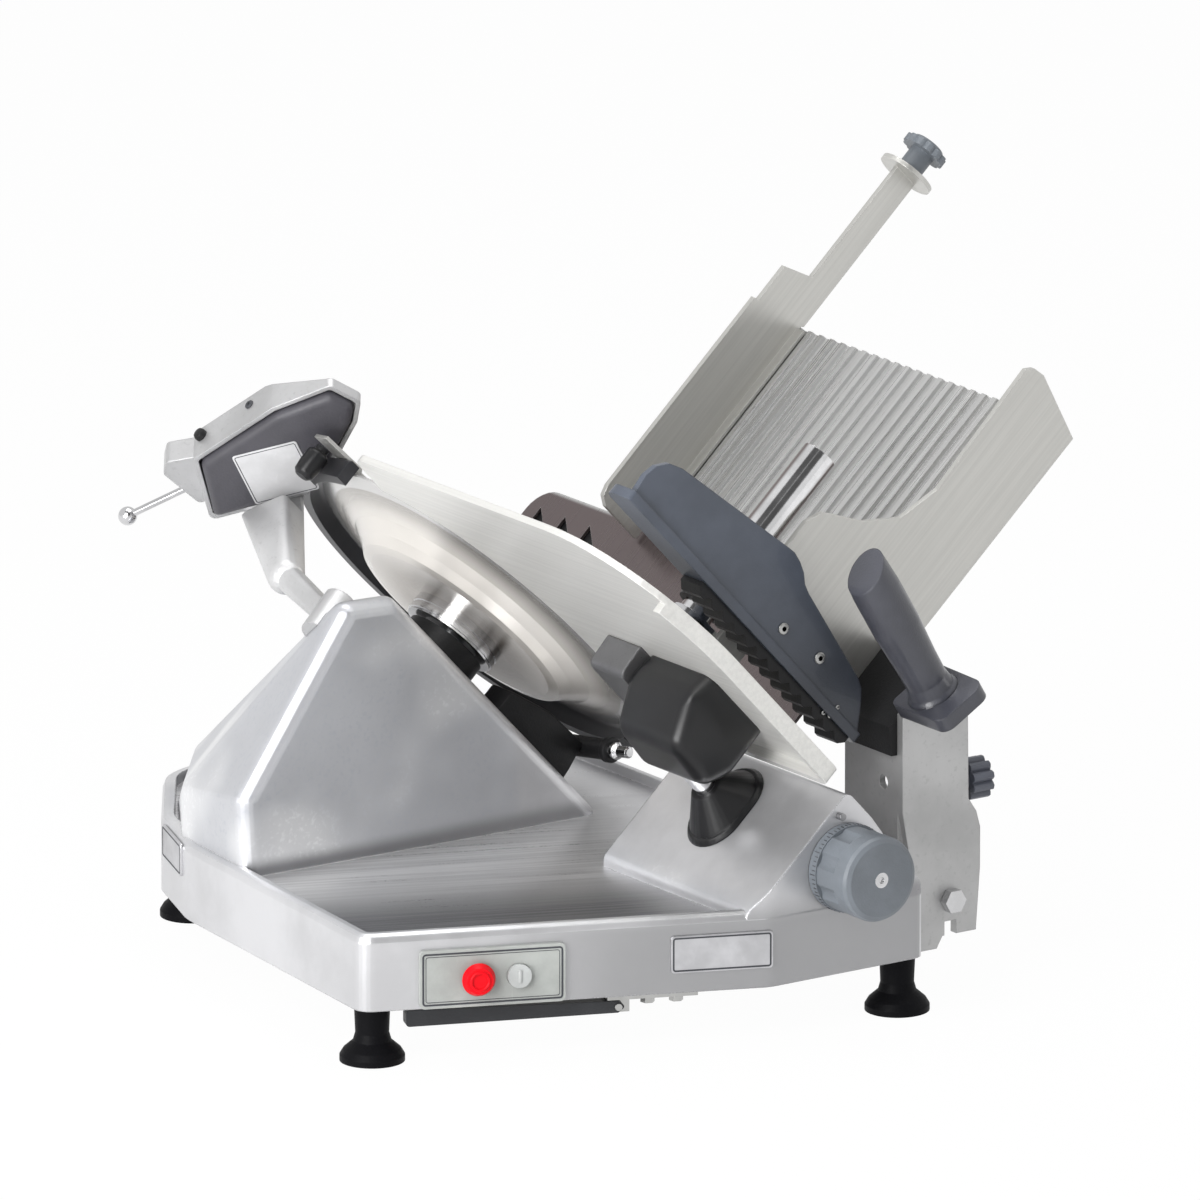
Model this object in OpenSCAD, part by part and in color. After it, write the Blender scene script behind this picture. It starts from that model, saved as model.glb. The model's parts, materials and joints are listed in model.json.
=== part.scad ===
// Gravity-feed food slicer with a motor-driven round knife and a hand-pushed carriage.
// Millimetres, +Z up. The operator stands at -Y, the carriage travels along Y, +X is to the operator's right.
// The origin lies on the counter, under the middle of the machine.

/* [Base] */
// Height of the base's lower edge above the counter
base_bottom = 48; // [40:1:60]
// Height of the tray's rim above the counter
rim_z = 113; // [108:1:120]
// Depth of the tray below its rim
tray_depth = 9; // [5:1:12]
// Width of the tray's rim
rim_w = 11; // [8:1:16]
// Wall thickness of the casting
wall = 6; // [4:0.5:7]
// Thickness of the bottom cover
cover_t = 3; // [2:0.5:5]
// Radius of a foot at the counter
foot_r = 27; // [22:1:32]
// Radius of a foot's stem
foot_stem_r = 14; // [12:1:16]

/* [Knife] */
// Place of the knife's centre across the machine
knife_x = 81; // [75:1:87]
// Place of the knife's centre away from the operator
knife_y = 119; // [110:1:130]
// Height of the knife's centre
knife_z = 274; // [268:1:284]
// Lean of the knife's axis above the horizontal
knife_tilt = 43; // [41:0.5:45]
// Radius of the knife
knife_r = 165; // [155:1:168]
// Thickness of the knife's sheet
knife_t = 4; // [3:0.5:5]
// Depth of the knife's dish
dish_depth = 25; // [20:1:28]
// Radius of the dish's flat end
dish_r = 98; // [90:1:102]
// Radius of the knife shaft
shaft_r = 12; // [10:0.5:14]
// Distance from the knife's plane to the slope of the motor housing
housing_drop = 79; // [76:1:84]
// Radius of the bearing housing
bearing_housing_r = 36; // [33:1:39]
// Radius of the chrome hub ring
hub_ring_r = 43; // [41:1:50]

/* [Gauge] */
// Thickness of the gauge plate
gauge_t = 6; // [4:0.5:7]
// Reach of the gauge plate from the knife's axis towards the operator
gauge_reach = 446; // [436:1:452]
// Height of the gauge plate's top edge above the knife's axis, along the plate
gauge_top = 213; // [205:1:220]
// Depth of the gauge plate's bottom edge below the knife's axis, along the plate
gauge_low = 76; // [70:1:80]
// Radius of the gauge plate's large corner
gauge_corner = 136; // [110:2:150]
// Gap between the knife's edge and the gauge plate
gauge_gap = 5; // [3:0.5:6]
// Radius of the gauge post
post_r = 9; // [7:0.5:10]
// Travel of the gauge plate, the thickest slice
gauge_travel = 25; // [15:1:26]

/* [Index knob] */
// Place of the index knob across the machine
index_x = 133; // [128:1:138]
// Height of the index knob
index_z = 139; // [134:1:144]
// Radius of the index knob
index_r = 36; // [32:1:38]
// Length of the index knob
index_len = 42; // [34:1:50]
// Thickness of the graduated dial
dial_t = 10; // [8:1:12]
// Number of finger scallops around the index knob
index_grips = 8; // [6:1:12]

/* [Carriage] */
// Depth of the table's floor below the knife's axis, along the knife's plane
floor_low = 100; // [97:1:104]
// Distance of the table's upper end from the knife's plane
table_len = 369; // [345:1:380]
// Distance of the near wall from the knife's axis, towards the operator
wall_reach = 319; // [314:1:322]
// Thickness of the near wall
wall_t = 5; // [3:0.5:6]
// Spacing of the table's ribs
rib_pitch = 15.5; // [12:0.5:20]
// Height of the table's ribs
rib_h = 3; // [2:0.5:4]
// Radius of the transport rod
transport_r = 11; // [9:0.5:12]
// Place of the tilt pivot across the machine
pivot_x = 274; // [270:1:278]
// Height of the tilt pivot
pivot_z = 76; // [74:1:78]
// Place of the arm along the machine
arm_y = -280; // [-284:1:-278]
// Thickness of the arm
arm_t = 8; // [6:0.5:9]
// Height of the arm's top
arm_top = 254; // [248:1:258]
// Length of the handle's grip
grip_len = 132; // [124:1:140]
// Radius of the handle's grip
grip_r = 20; // [17:0.5:21]

/* [Pusher] */
// Radius of the pusher's chrome rod
rod_r = 15; // [12:0.5:16]
// Length of the pusher plate
pusher_len = 334; // [320:2:338]
// Width of the pusher plate
pusher_w = 36; // [30:1:40]
// Thickness of the pusher plate
pusher_t = 9; // [8:1:12]
// Height of the pusher's back above the plate
pusher_back = 65; // [56:1:68]
// Number of teeth along the pusher
teeth_n = 13; // [8:1:16]

/* [Fence] */
// Height of the fence above the floor
fence_h = 57; // [48:1:60]
// Thickness of the fence
fence_t = 5; // [3:0.5:6]
// Reach of the fence's bar past the table
fence_bar = 158; // [120:2:170]

/* [Sharpener] */
// Thickness of the sharpener's body at its far end
sharp_d = 32; // [30:1:36]
// Thickness of the sharpener's body at its near end
sharp_near = 10; // [9:1:14]
// Thickness of the sharpener's front cover
sharp_cover_t = 6; // [4:1:8]
// Wall of the sharpener's body
sharp_wall = 4; // [3:0.5:5]

/* [Hidden] */
$fn = 64;

// Running clearance between pieces that move past each other
run_gap = 0.3;
// Gap under a piece that is seated on a rounded casting
seat_gap = 0.1;
// Radial clearance of a shaft in its bore
fit = 0.05;

// Plan of the base, counter-clockwise from its front left corner
base_plan = [[-260, -200], [58, -331], [217, -331], [222, 250], [165, 320], [-110, 310], [-190, 195],
  [-222, 110]];
plan_r = [16, 30, 14, 60, 60, 60, 60, 80];
tray_z = rim_z - tray_depth;
front_y = base_plan[1][1];
front_a = atan2(base_plan[1][1] - base_plan[0][1], base_plan[1][0] - base_plan[0][0]);
front_dir = [cos(front_a), sin(front_a)];
foot_places = [[-236, -182], [202, -309], [-118, 256], [178, 262]];

// Directions of the knife's plane: across it, and up along it
blade_n = [cos(knife_tilt), sin(knife_tilt)];
blade_u = [-sin(knife_tilt), cos(knife_tilt)];
// A point of the machine's front view at the height u along the plane and the distance w in front of it
function front_pt(u, w) = [knife_x, knife_z] + u * blade_u + w * blade_n;

// Convex outlines: inset, and corners turned into arcs
function inward(a, b) = let (e = (b - a) / norm(b - a)) [-e[1], e[0]];
function corner_shift(p, i) =
  let (n = len(p), a = inward(p[(i + n - 1) % n], p[i]), b = inward(p[i], p[(i + 1) % n])) (a + b)
    / (1 + a * b);
function inset(p, d) = [for (i = [0 : len(p) - 1]) p[i] + d * corner_shift(p, i)];
function rounded(p, r, steps = 6) = [for (i = [0 : len(p) - 1])
  let (n = len(p), q = is_list(r) ? r[i] : r, a = inward(p[(i + n - 1) % n], p[i]),
    b = inward(p[i], p[(i + 1) % n]), c = p[i] + q * corner_shift(p, i),
    t = atan2(-a[1], -a[0]), turn = acos(min(1, a * b)))
  for (k = [0 : steps]) c + q * [cos(t + turn * k / steps), sin(t + turn * k / steps)]];

// Frame of the knife: x away from the operator, y up along the knife's plane, z towards the product
module blade_frame() {
  translate([knife_x, knife_y, knife_z]) rotate([0, 90 - knife_tilt, 0]) rotate([0, 0, 90]) children();
}
// An outline in the knife's height and distance, drawn from x0 to x1 away from the operator
module blade_slice(outline, x0, x1) {
  translate([x0, 0, 0]) rotate([90, 0, 90]) linear_extrude(x1 - x0) polygon(outline);
}
// An outline of the front view, drawn from y0 to y1
module front_slice(outline, y0, y1) {
  translate([0, y1, 0]) rotate([90, 0, 0]) linear_extrude(y1 - y0) polygon(outline);
}
// A round bar along Y, in the front view's place p
module along_y(p, r, y0, y1) {
  translate([p[0], y1, p[1]]) rotate([90, 0, 0]) cylinder(r = r, h = y1 - y0);
}
module box(lo, hi) { translate(lo) cube(hi - lo); }
module hex_head(r, h) { cylinder(r = r, h = h, $fn = 6); }

// Base

module plan_slab(d, z0, z1) {
  translate([0, 0, z0]) linear_extrude(z1 - z0) polygon(rounded(inset(base_plan, d), [for (r = plan_r)
    max(r - d, 4)]));
}
edge_r = 7;
module base_body(d) {
  hull() {
    plan_slab(d, base_bottom, rim_z - edge_r - d);
    plan_slab(d + 2, rim_z - edge_r - d, rim_z - 2 - d);
    plan_slab(d + edge_r - 1, rim_z - 2 - d, rim_z - d);
  }
}
// Corners of the motor housing, set in by d; the right slope lies parallel to the knife's plane
housing_round = 14;
housing_front = 22;
housing_back = 286;
ridge_left = [-112, 306];
module housing(d) {
  q = housing_round - d;
  drop = housing_drop + housing_round;
  apex = front_pt(129, -drop);
  heel = front_pt(-150, -drop);
  back = front_pt(-50, -drop);
  hull() {
    for (p = [[-208, 34, rim_z - 20], [-212, 34, 166], [apex[0], housing_front + housing_round, apex[1]],
        [ridge_left[0], housing_front + housing_round, ridge_left[1]],
        [heel[0], housing_front + housing_round - 8, heel[1]], [heel[0], housing_back, heel[1]],
        [back[0], housing_back - 10, back[1]], [-196, 130, rim_z - 20], [-196, 130, 150],
        [-120, 250, rim_z - 20], [-110, 240, 140]])
      translate(p) sphere(r = q, $fn = 24);
  }
}
// Wall that carries the index knob, in the front view
slope_low = 90;
slope_foot = front_pt(-slope_low, -140);
slope_top = front_pt(-slope_low, -12);
function index_wall(low) = [[slope_foot[0], low], [219, low], [212, 112], [190, 136], [160, 176],
  slope_top + [6, -2], slope_top, slope_foot];
index_wall_r = [1, 2, 14, 20, 24, 3, 3, 10];
index_wall_back = -118;
// Step by which the index wall stands behind the base's front face
index_step = 0.3;
module index_block(d, low, y0, y1) {
  front_slice(rounded(inset(index_wall(low), d), [for (r = index_wall_r) max(r - d, 1)]), y0, y1);
}
slot_lo = pivot_z - 16;
slot_hi = pivot_z + 16;

module base_housing() {
  color("silver") difference() {
    union() {
      difference() {
        base_body(0);
        plan_slab(rim_w, tray_z, rim_z + 1);
      }
      housing(0);
      intersection() {
        index_block(0, tray_z - 8, front_y - 20, index_wall_back);
        plan_slab(index_step, base_bottom, 400);
      }
    }
    difference() {
      base_hollow();
      guide_lugs();
    }
    blade_frame() translate([post_x, guide_u, guide_w0 - 1]) cylinder(r = guide_r,
      h = guide_w1 - guide_w0 + 2);
    // Holes behind the two buttons
    front_frame(panel_s) {
      along_y([stop_x, button_z], stop_r - 3, -wall - 6, 1);
      along_y([start_x, button_z], start_r + 1, -wall - 6, 1);
    }
    // Seat of the bearing housing in the slope
    blade_frame() translate([0, 0, -housing_drop - 60]) cylinder(r = bearing_housing_r + fit, h = 90);
    // Slot of the gauge post in the index wall
    blade_frame() box([post_x - post_r - 1, -slope_low - wall - 8, post_w - gauge_travel - post_r - 1],
      [post_x + post_r + 1, -slope_low + 5, post_w + post_r + 1]);
    along_y([index_x, index_z], shaft_index_r + fit, front_y - 10, front_y + 30);
    // Slot of the carriage along the right side
    box([195, -302, slot_lo], [240, 262, slot_hi]);
  }
}
module base_hollow() {
  difference() {
    translate([0, 0, -1]) plan_slab(wall, base_bottom, tray_z - wall + 1);
    for (p = foot_places) translate([p[0], p[1], base_bottom + cover_t]) cylinder(r = foot_stem_r, h = 80);
  }
  intersection() {
    housing(wall);
    plan_slab(wall + 1, base_bottom + 2, 500);
  }
  intersection() {
    index_block(wall, tray_z - 24, front_y - 20, index_wall_back - wall);
    plan_slab(wall + index_step, base_bottom + 4, 400);
  }
}
module bottom_cover() {
  color("gray") difference() {
    plan_slab(wall + run_gap, base_bottom, base_bottom + cover_t);
    for (p = foot_places) translate([p[0], p[1], 0]) cylinder(r = screw_r, h = 100);
    // Opening under the carriage's transport
    box([86, -296, 0], [240, 262, 100]);
  }
}
screw_r = 4;
module feet() {
  color("black") for (p = foot_places) translate([p[0], p[1], 0]) rotate_extrude() polygon([[0, 3],
    [foot_stem_r - 4, 3],
    [foot_stem_r - 4, 0], [foot_r, 0], [foot_r, 5], [foot_r - 3, 10], [foot_stem_r + 2, 17],
      [foot_stem_r, 24],
    [foot_stem_r + 1, base_bottom], [screw_r, base_bottom], [screw_r, 14], [0, 14]]);
}
module foot_screws() {
  color("dimgray") for (p = foot_places) translate([p[0], p[1], 14]) cylinder(r = screw_r,
    h = base_bottom + cover_t - 14);
}

// Frame of the front face: x along it from the left corner, y out of it, z up
module front_frame(s) {
  translate([base_plan[0][0] + front_dir[0] * s, base_plan[0][1] + front_dir[1] * s, 0]) rotate([0, 0,
    front_a + 180])
    mirror([1, 0, 0]) children();
}
panel_s = 110;
panel_w = 122;
panel_z0 = base_bottom + 0.6;
panel_z1 = 98;
panel_t = 4;
button_z = 73;
stop_x = -13;
start_x = 22;
stop_r = 14;
start_r = 10;
module panel_plate(m, y0, y1) {
  translate([0, y1, 0]) rotate([90, 0, 0]) linear_extrude(y1 - y0) polygon(rounded(
    [[-panel_w / 2 + m, panel_z0 + m], [panel_w / 2 - m, panel_z0 + m], [panel_w / 2 - m, panel_z1 - m],
     [-panel_w / 2 + m, panel_z1 - m]], 4));
}
module switch_panel() {
  color("lightgray") front_frame(panel_s) difference() {
    panel_plate(0, 0, panel_t);
    along_y([stop_x, button_z], stop_r - 4 + run_gap, -1, panel_t + 1);
    along_y([start_x, button_z], start_r + run_gap, -1, panel_t + 1);
  }
}
button_rise = 6;
module stop_button() {
  color("red") front_frame(panel_s) {
    along_y([stop_x, button_z], stop_r - 4, 0.5, panel_t + button_rise);
    translate([stop_x, panel_t + button_rise, button_z]) rotate([-90, 0, 0]) cylinder(r1 = stop_r,
      r2 = stop_r - 3, h = 6);
  }
}
module start_button() {
  color("white") front_frame(panel_s) {
    along_y([start_x, button_z], start_r, 0.5, panel_t + 4);
  }
}

// Kickstand under the front edge
stand_s0 = 40;
stand_s1 = 222;
stand_z = 37;
module kickstand() {
  color("black") front_frame(0) difference() {
    translate([0, -8, 0]) rotate([90, 0, 0]) linear_extrude(12) polygon(rounded([[stand_s0, stand_z - 6],
      [stand_s1 - 4, stand_z - 5], [stand_s1 + 2, stand_z], [stand_s1 - 4, stand_z + 5], [stand_s0,
        stand_z + 8]],
      [3, 2, 2, 2, 3]));
    along_y([stand_s1 - 4, stand_z], 3 + fit, -40, 0);
  }
}
module kickstand_bracket() {
  color("silver") front_frame(0) {
    box([stand_s1 - 14, -26, base_bottom - 4], [stand_s1 + 62, -4, base_bottom]);
    box([stand_s1 - 14, -26, stand_z - 8], [stand_s1 + 8, -20 - run_gap, base_bottom - 4]);
    along_y([stand_s1 - 4, stand_z], 3, -20 - run_gap, -6);
  }
}
module kickstand_bolts() {
  color("silver") front_frame(0) for (s = [22, 46]) translate([stand_s1 + s, -15, base_bottom - 10])
    hex_head(6, 6);
}
module index_pin() {
  color("dimgray") along_y([index_x - 6, index_z + index_r + 8], 3, front_y - 6, front_y);
}

// Knife drive

hub_z = -dish_depth - knife_t;
ring_len = 16;
bearing_lo = -housing_drop - 22;
bearing_hi = hub_z - ring_len - 3;
bearing_w = 14;
bearing_r = 26;
pulley_z = -housing_drop - 48;
pulley_w = 18;
knife_pulley_r = 36;
motor_pulley_r = 20;
belt_t = 3;
motor_place = [80, -48];
motor_r = 38;
motor_len = 62;
motor_top = pulley_z - 8;

module knife() {
  color("lightgray") blade_frame() rotate_extrude($fn = 128) polygon([[shaft_r + 8, hub_z], [dish_r - 6,
    hub_z],
    [dish_r + 4, hub_z + 2], [dish_r + 12, hub_z + 9], [dish_r + 24, hub_z + 17], [dish_r + 42,
      -knife_t - 2],
    [knife_r - 16, -knife_t], [knife_r - 2, -1.4], [knife_r, 0], [knife_r - 9, -0.8], [knife_r - 18, -0.9],
    [dish_r + 36, -1.2], [dish_r + 20, hub_z + 20], [dish_r + 8, hub_z + 12], [dish_r, hub_z + 5],
    [dish_r - 6, hub_z + knife_t], [shaft_r + 8, hub_z + knife_t]]);
}
module knife_screws() {
  color("dimgray") blade_frame() for (a = [45 : 90 : 315]) rotate(a) translate([30, 0, hub_z + knife_t])
    cylinder(r = 5, h = 3);
}
module hub_ring() {
  color("silver") blade_frame() translate([0, 0, hub_z - ring_len]) difference() {
    union() {
      cylinder(r = hub_ring_r - 1, h = ring_len);
      translate([0, 0, 2]) cylinder(r = hub_ring_r, h = 5);
      translate([0, 0, 9]) cylinder(r = hub_ring_r, h = ring_len - 9);
    }
    translate([0, 0, -1]) cylinder(r = shaft_r, h = ring_len + 2);
  }
}
module knife_shaft() {
  color("silver") blade_frame() {
    translate([0, 0, pulley_z - 4]) cylinder(r = shaft_r, h = hub_z - pulley_z + 4);
    translate([0, 0, hub_z]) cylinder(r = shaft_r + 8, h = knife_t + 3);
  }
}
module bearing_housing() {
  color("black") blade_frame() difference() {
    union() {
      translate([0, 0, bearing_lo]) cylinder(r = bearing_housing_r, h = bearing_hi - bearing_lo);
      translate([0, 0, -housing_drop + seat_gap]) cylinder(r = bearing_housing_r + 5, h = 12);
    }
    translate([0, 0, bearing_lo - 1]) cylinder(r = shaft_r + 3, h = 200);
    translate([0, 0, bearing_lo - 1]) cylinder(r = bearing_r, h = bearing_w + 1);
    translate([0, 0, bearing_hi - bearing_w]) cylinder(r = bearing_r, h = bearing_w + 1);
  }
}
module knife_bearings() {
  color("silver") blade_frame() for (z = [bearing_lo, bearing_hi - bearing_w]) translate([0, 0, z])
    difference() {
    cylinder(r = bearing_r, h = bearing_w);
    translate([0, 0, -1]) cylinder(r = shaft_r + fit, h = bearing_w + 2);
  }
}
module grooved_pulley(r, bore) {
  difference() {
    cylinder(r = r, h = pulley_w);
    translate([0, 0, -1]) cylinder(r = bore, h = pulley_w + 2);
  }
}
module knife_pulley() {
  color("dimgray") blade_frame() translate([0, 0, pulley_z]) grooved_pulley(knife_pulley_r, shaft_r);
}
module motor_pulley() {
  color("dimgray") blade_frame() translate([motor_place[0], motor_place[1], pulley_z])
    grooved_pulley(motor_pulley_r, motor_shaft_r + fit);
}
motor_shaft_r = 6;
module motor() {
  color("gray") blade_frame() translate([motor_place[0], motor_place[1], motor_top - motor_len]) {
    cylinder(r = motor_r, h = motor_len);
    cylinder(r = motor_shaft_r, h = motor_len + 30);
    // Stand-offs under the housing's slope
    for (a = [-75, 0, 75]) rotate(belt_dir + a) translate([motor_r - 8, 0, motor_len - 1])
      cylinder(r = 5, h = -housing_drop - wall - seat_gap - motor_top + 1);
  }
}
// The belt goes round both pulleys on their common tangents
belt_span = norm(motor_place);
belt_turn = asin((knife_pulley_r - motor_pulley_r) / belt_span);
belt_dir = atan2(motor_place[1], motor_place[0]);
function belt_loop(g) = concat(
  [for (k = [0 : 16]) let (a = belt_dir + 90 - belt_turn + (180 + 2 * belt_turn) * k / 16)
    (knife_pulley_r + g) * [cos(a), sin(a)]],
  [for (k = [0 : 12]) let (a = belt_dir - 90 + belt_turn + (180 - 2 * belt_turn) * k / 12)
    motor_place + (motor_pulley_r + g) * [cos(a), sin(a)]]);
module drive_belt() {
  color("black") blade_frame() translate([0, 0, pulley_z + 3]) linear_extrude(pulley_w - 6) difference() {
    polygon(belt_loop(run_gap + belt_t));
    polygon(belt_loop(run_gap));
  }
}

// Guards round the knife

ring_in = knife_r + 2.5;
ring_out = knife_r + 14;
ring_from = -118;
ring_to = 84;
ring_lo = -14;
ring_hi = 5;
guard_post_a = -44;
module ring_guard() {
  color("dimgray") blade_frame() {
    rotate(ring_from) rotate_extrude(angle = ring_to - ring_from, $fn = 128) polygon([[ring_in, ring_lo],
      [ring_out, ring_lo], [ring_out, ring_hi - 2], [ring_out - 2, ring_hi], [ring_in, ring_hi]]);
    // Post from the housing's slope
    rotate(guard_post_a) translate([ring_in + 6, 0, -housing_drop + seat_gap])
      cylinder(r = 4.5, h = ring_lo + 4 + housing_drop - seat_gap);
  }
}
cover_lo = 2.5;
latch_a = 78;
module top_knife_cover() {
  color("lightgray") blade_frame() {
    translate([0, 0, cover_lo]) rotate_extrude($fn = 128) polygon([[0, 0], [112, 0], [118, 1], [112, 3],
      [60, 5], [0, 5]]);
    // Tab over the ring guard, for the latch
    rotate(latch_a) translate([0, 11, 0]) rotate([90, 0, 0]) linear_extrude(22) polygon([[98,
      cover_lo + 0.4],
      [ring_in - 2, cover_lo + 0.4], [ring_in - 2, ring_hi], [ring_out + 25, ring_hi], [ring_out + 25,
        ring_hi + 3],
      [ring_in - 6, ring_hi + 3], [ring_in - 8, cover_lo + 2.5], [98, cover_lo + 2.5]]);
  }
}
module cover_latch() {
  color("silver") blade_frame() rotate(latch_a) translate([ring_out + 17, 0, -10]) {
    cylinder(r = 6, h = ring_hi + 10 - run_gap);
    translate([0, 0, -6]) cylinder(r = 15, h = 10);
    translate([0, 0, -12]) cylinder(r1 = 8, r2 = 15, h = 6);
  }
}

// Gauge plate and its slide

gauge_hi = -1;
gauge_lo = gauge_hi - gauge_t;
gauge_far = -30;
post_x = -330;
post_w = -61;
gauge_outline = [[gauge_far, gauge_top], [-gauge_reach, gauge_top], [-gauge_reach, -gauge_low],
  [gauge_far, -gauge_low]];
gauge_outline_r = [14, gauge_corner, 12, 4];
module gauge_plate() {
  color("lightgray") blade_frame() difference() {
    union() {
      translate([0, 0, gauge_lo]) linear_extrude(gauge_t) polygon(rounded(gauge_outline, gauge_outline_r,
        12));
      // Thick near edge
      intersection() {
        translate([0, 0, gauge_lo - 9]) linear_extrude(gauge_t + 9) difference() {
          polygon(rounded(gauge_outline, gauge_outline_r, 12));
          polygon(rounded(inset(gauge_outline, 7), [for (r = gauge_outline_r) max(r - 7, 3)], 12));
        }
        box([-gauge_reach - 1, -gauge_low - 1, -40], [-gauge_reach + gauge_corner, gauge_top - 60, 10]);
      }
    }
    translate([0, 0, -60]) cylinder(r = knife_r + gauge_gap, h = 100, $fn = 128);
  }
}
block_x0 = -376;
block_x1 = -284;
block_u0 = -44;
block_u1 = 42;
block_w = -76;
module gauge_block() {
  color("black") blade_frame() difference() {
    intersection() {
      blade_slice(rounded([[block_u0 + 14, block_w], [block_u1 - 22, block_w + 4], [block_u1,
        gauge_lo - 24],
        [block_u1 - 6, gauge_lo], [block_u0, gauge_lo], [block_u0, block_w + 26]], [14, 14, 12, 3, 3,
          12]), block_x0, block_x1);
      // Rounded sides
      translate([0, block_u1 + 2, 0]) rotate([90, 0, 0]) linear_extrude(block_u1 - block_u0 + 4)
        polygon(rounded(
        [[block_x0, block_w - 1], [block_x1, block_w - 1], [block_x1, gauge_lo + 1], [block_x0,
          gauge_lo + 1]], [20, 20, 2, 2]));
    }
    translate([post_x, block_u0 - 1, post_w]) rotate([-90, 0, 0]) cylinder(r = post_r, h = 51);
    for (x = [block_x0 + 28, block_x1 - 28]) translate([x, 0, block_w - 8]) rotate([0, 45, 0]) cube([14,
      200, 14], center = true);
  }
}
module gauge_bracket() {
  color("silver") blade_frame() {
    blade_slice(rounded([[-22, gauge_lo - 30], [44, gauge_lo - 30], [46, gauge_lo], [-26, gauge_lo]], [9,
      7, 2, 2]),
      block_x1, block_x1 + 46);
  }
}
slide_u0 = -152;
slide_u1 = -120;
guide_u = -136;
guide_r = 8;
guide_w0 = -118;
guide_w1 = -27;
module gauge_post() {
  color("silver") blade_frame() translate([post_x, slide_u1, post_w]) rotate([-90, 0, 0])
    cylinder(r = post_r, h = block_u0 + 50 - slide_u1);
}
module gauge_boot() {
  color("black") blade_frame() difference() {
    union() {
      hull() for (w = [post_w - 11, post_w + 11]) translate([post_x, -slope_low + run_gap, w])
        rotate([-90, 0, 0])
        cylinder(r1 = 30, r2 = 27, h = 4, $fn = 32);
      hull() {
        for (w = [post_w - 9, post_w + 9]) translate([post_x, -slope_low + run_gap + 4, w]) rotate([-90,
          0, 0])
          cylinder(r = 26, h = 1, $fn = 32);
        translate([post_x, -slope_low + 24, post_w]) rotate([-90, 0, 0]) cylinder(r = 14, h = 6, $fn = 32);
      }
    }
    translate([post_x, -slope_low - 10, post_w]) rotate([-90, 0, 0]) cylinder(r = post_r, h = 80);
  }
}
module gauge_slide() {
  color("gray") blade_frame() difference() {
    union() {
      box([post_x - 20, slide_u0, post_w - 20], [post_x + 20, slide_u1, post_w + 20]);
      translate([post_x - 32, guide_u - 2, post_w + 6]) rotate([0, 90, 0]) cylinder(r = 4, h = 14);
    }
    translate([post_x, guide_u, post_w - 40]) cylinder(r = guide_r + fit, h = 80);
  }
}
module gauge_guide() {
  color("silver") blade_frame() translate([post_x, guide_u, guide_w0]) cylinder(r = guide_r,
    h = guide_w1 - guide_w0);
}
// Lugs inside the index wall that hold the guide
module guide_lugs() {
  blade_frame() for (w = [guide_w0, guide_w1 - 10])
    box([post_x - 15, guide_u - 12, w], [post_x + 15, -slope_low, w + 10]);
}
shaft_index_r = 7;
cam_y0 = knife_y + post_x - 32 - 11;
module index_shaft() {
  color("silver") along_y([index_x, index_z], shaft_index_r, front_y - dial_t - 12, cam_y0 + 10);
}
module index_cam() {
  color("dimgray") difference() {
    along_y([index_x, index_z], 26, cam_y0, cam_y0 + 10);
    along_y([index_x, index_z], shaft_index_r, cam_y0 - 1, cam_y0 + 11);
  }
}
module index_dial() {
  color("gray") difference() {
    along_y([index_x, index_z], index_r + 1, front_y - dial_t, front_y - run_gap);
    along_y([index_x, index_z], shaft_index_r, front_y - 40, front_y + 10);
  }
}
function grip_outline(r, n, depth) = [for (k = [0 : n * 6 - 1]) let (a = 60 * k / n)
  (r - depth * pow(abs(sin(a * n / 2)), 6)) * [cos(a), sin(a)]];
module index_knob() {
  color("slategray") translate([index_x, front_y - dial_t, index_z]) rotate([90, 0, 0]) difference() {
    rotate_extrude() polygon([[0, 0], [index_r, 0], [index_r, index_len - 5], [index_r - 1.5,
      index_len - 2],
      [index_r - 5, index_len], [0, index_len]]);
    // Finger scallops from the wall's side
    for (k = [0 : index_grips - 1]) rotate(360 * (k + 0.5) / index_grips) translate([index_r + 11, 0, -1])
      cylinder(r = 13.5, h = index_len * 0.6);
    translate([0, 0, -1]) cylinder(r = shaft_index_r, h = 13);
    translate([0, 0, index_len - 4]) cylinder(r = 6.5, h = 10);
  }
}
module index_screw() {
  color("silver") translate([index_x, front_y - dial_t - index_len + 4, index_z]) rotate([90, 0, 0])
    difference() {
    cylinder(r = 6.5, h = 4);
    translate([0, 0, 2]) cylinder(r = 3, h = 5, $fn = 6);
  }
}

// Carriage

transport_x = 140;
support_y = [-312, 270];
support_t = 16;
ceiling_z = tray_z - wall;
slider_y0 = -272;
slider_y1 = -150;
module transport_rod() {
  color("silver") along_y([transport_x, pivot_z], transport_r, support_y[0] + 2,
    support_y[1] + support_t - 2);
}
module rod_supports() {
  color("gray") for (y = support_y) difference() {
    box([transport_x - 20, y, pivot_z - 18], [transport_x + 20, y + support_t, ceiling_z]);
    along_y([transport_x, pivot_z], transport_r, y - 1, y + support_t + 1);
  }
}
arm_back = arm_y + arm_t / 2;
module carriage_slider() {
  color("gray") difference() {
    union() {
      box([transport_x - 24, slider_y0 + 10, pivot_z - 17], [transport_x + 24, slider_y1, pivot_z + 17]);
      box([transport_x + 24, slider_y0 + 10, pivot_z - 12], [pivot_x - 12, slider_y1 - 40, pivot_z + 12]);
      along_y([pivot_x, pivot_z], 18, arm_back + run_gap, slider_y1 - 40);
      box([pivot_x - 14, slider_y0 + 10, pivot_z - 12], [pivot_x, slider_y1 - 40, pivot_z + 12]);
    }
    along_y([transport_x, pivot_z], transport_r + fit, slider_y0 - 1, slider_y1 + 1);
    along_y([pivot_x, pivot_z], pivot_r, arm_back - 1, slider_y1);
  }
}
pivot_r = 7;
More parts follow.
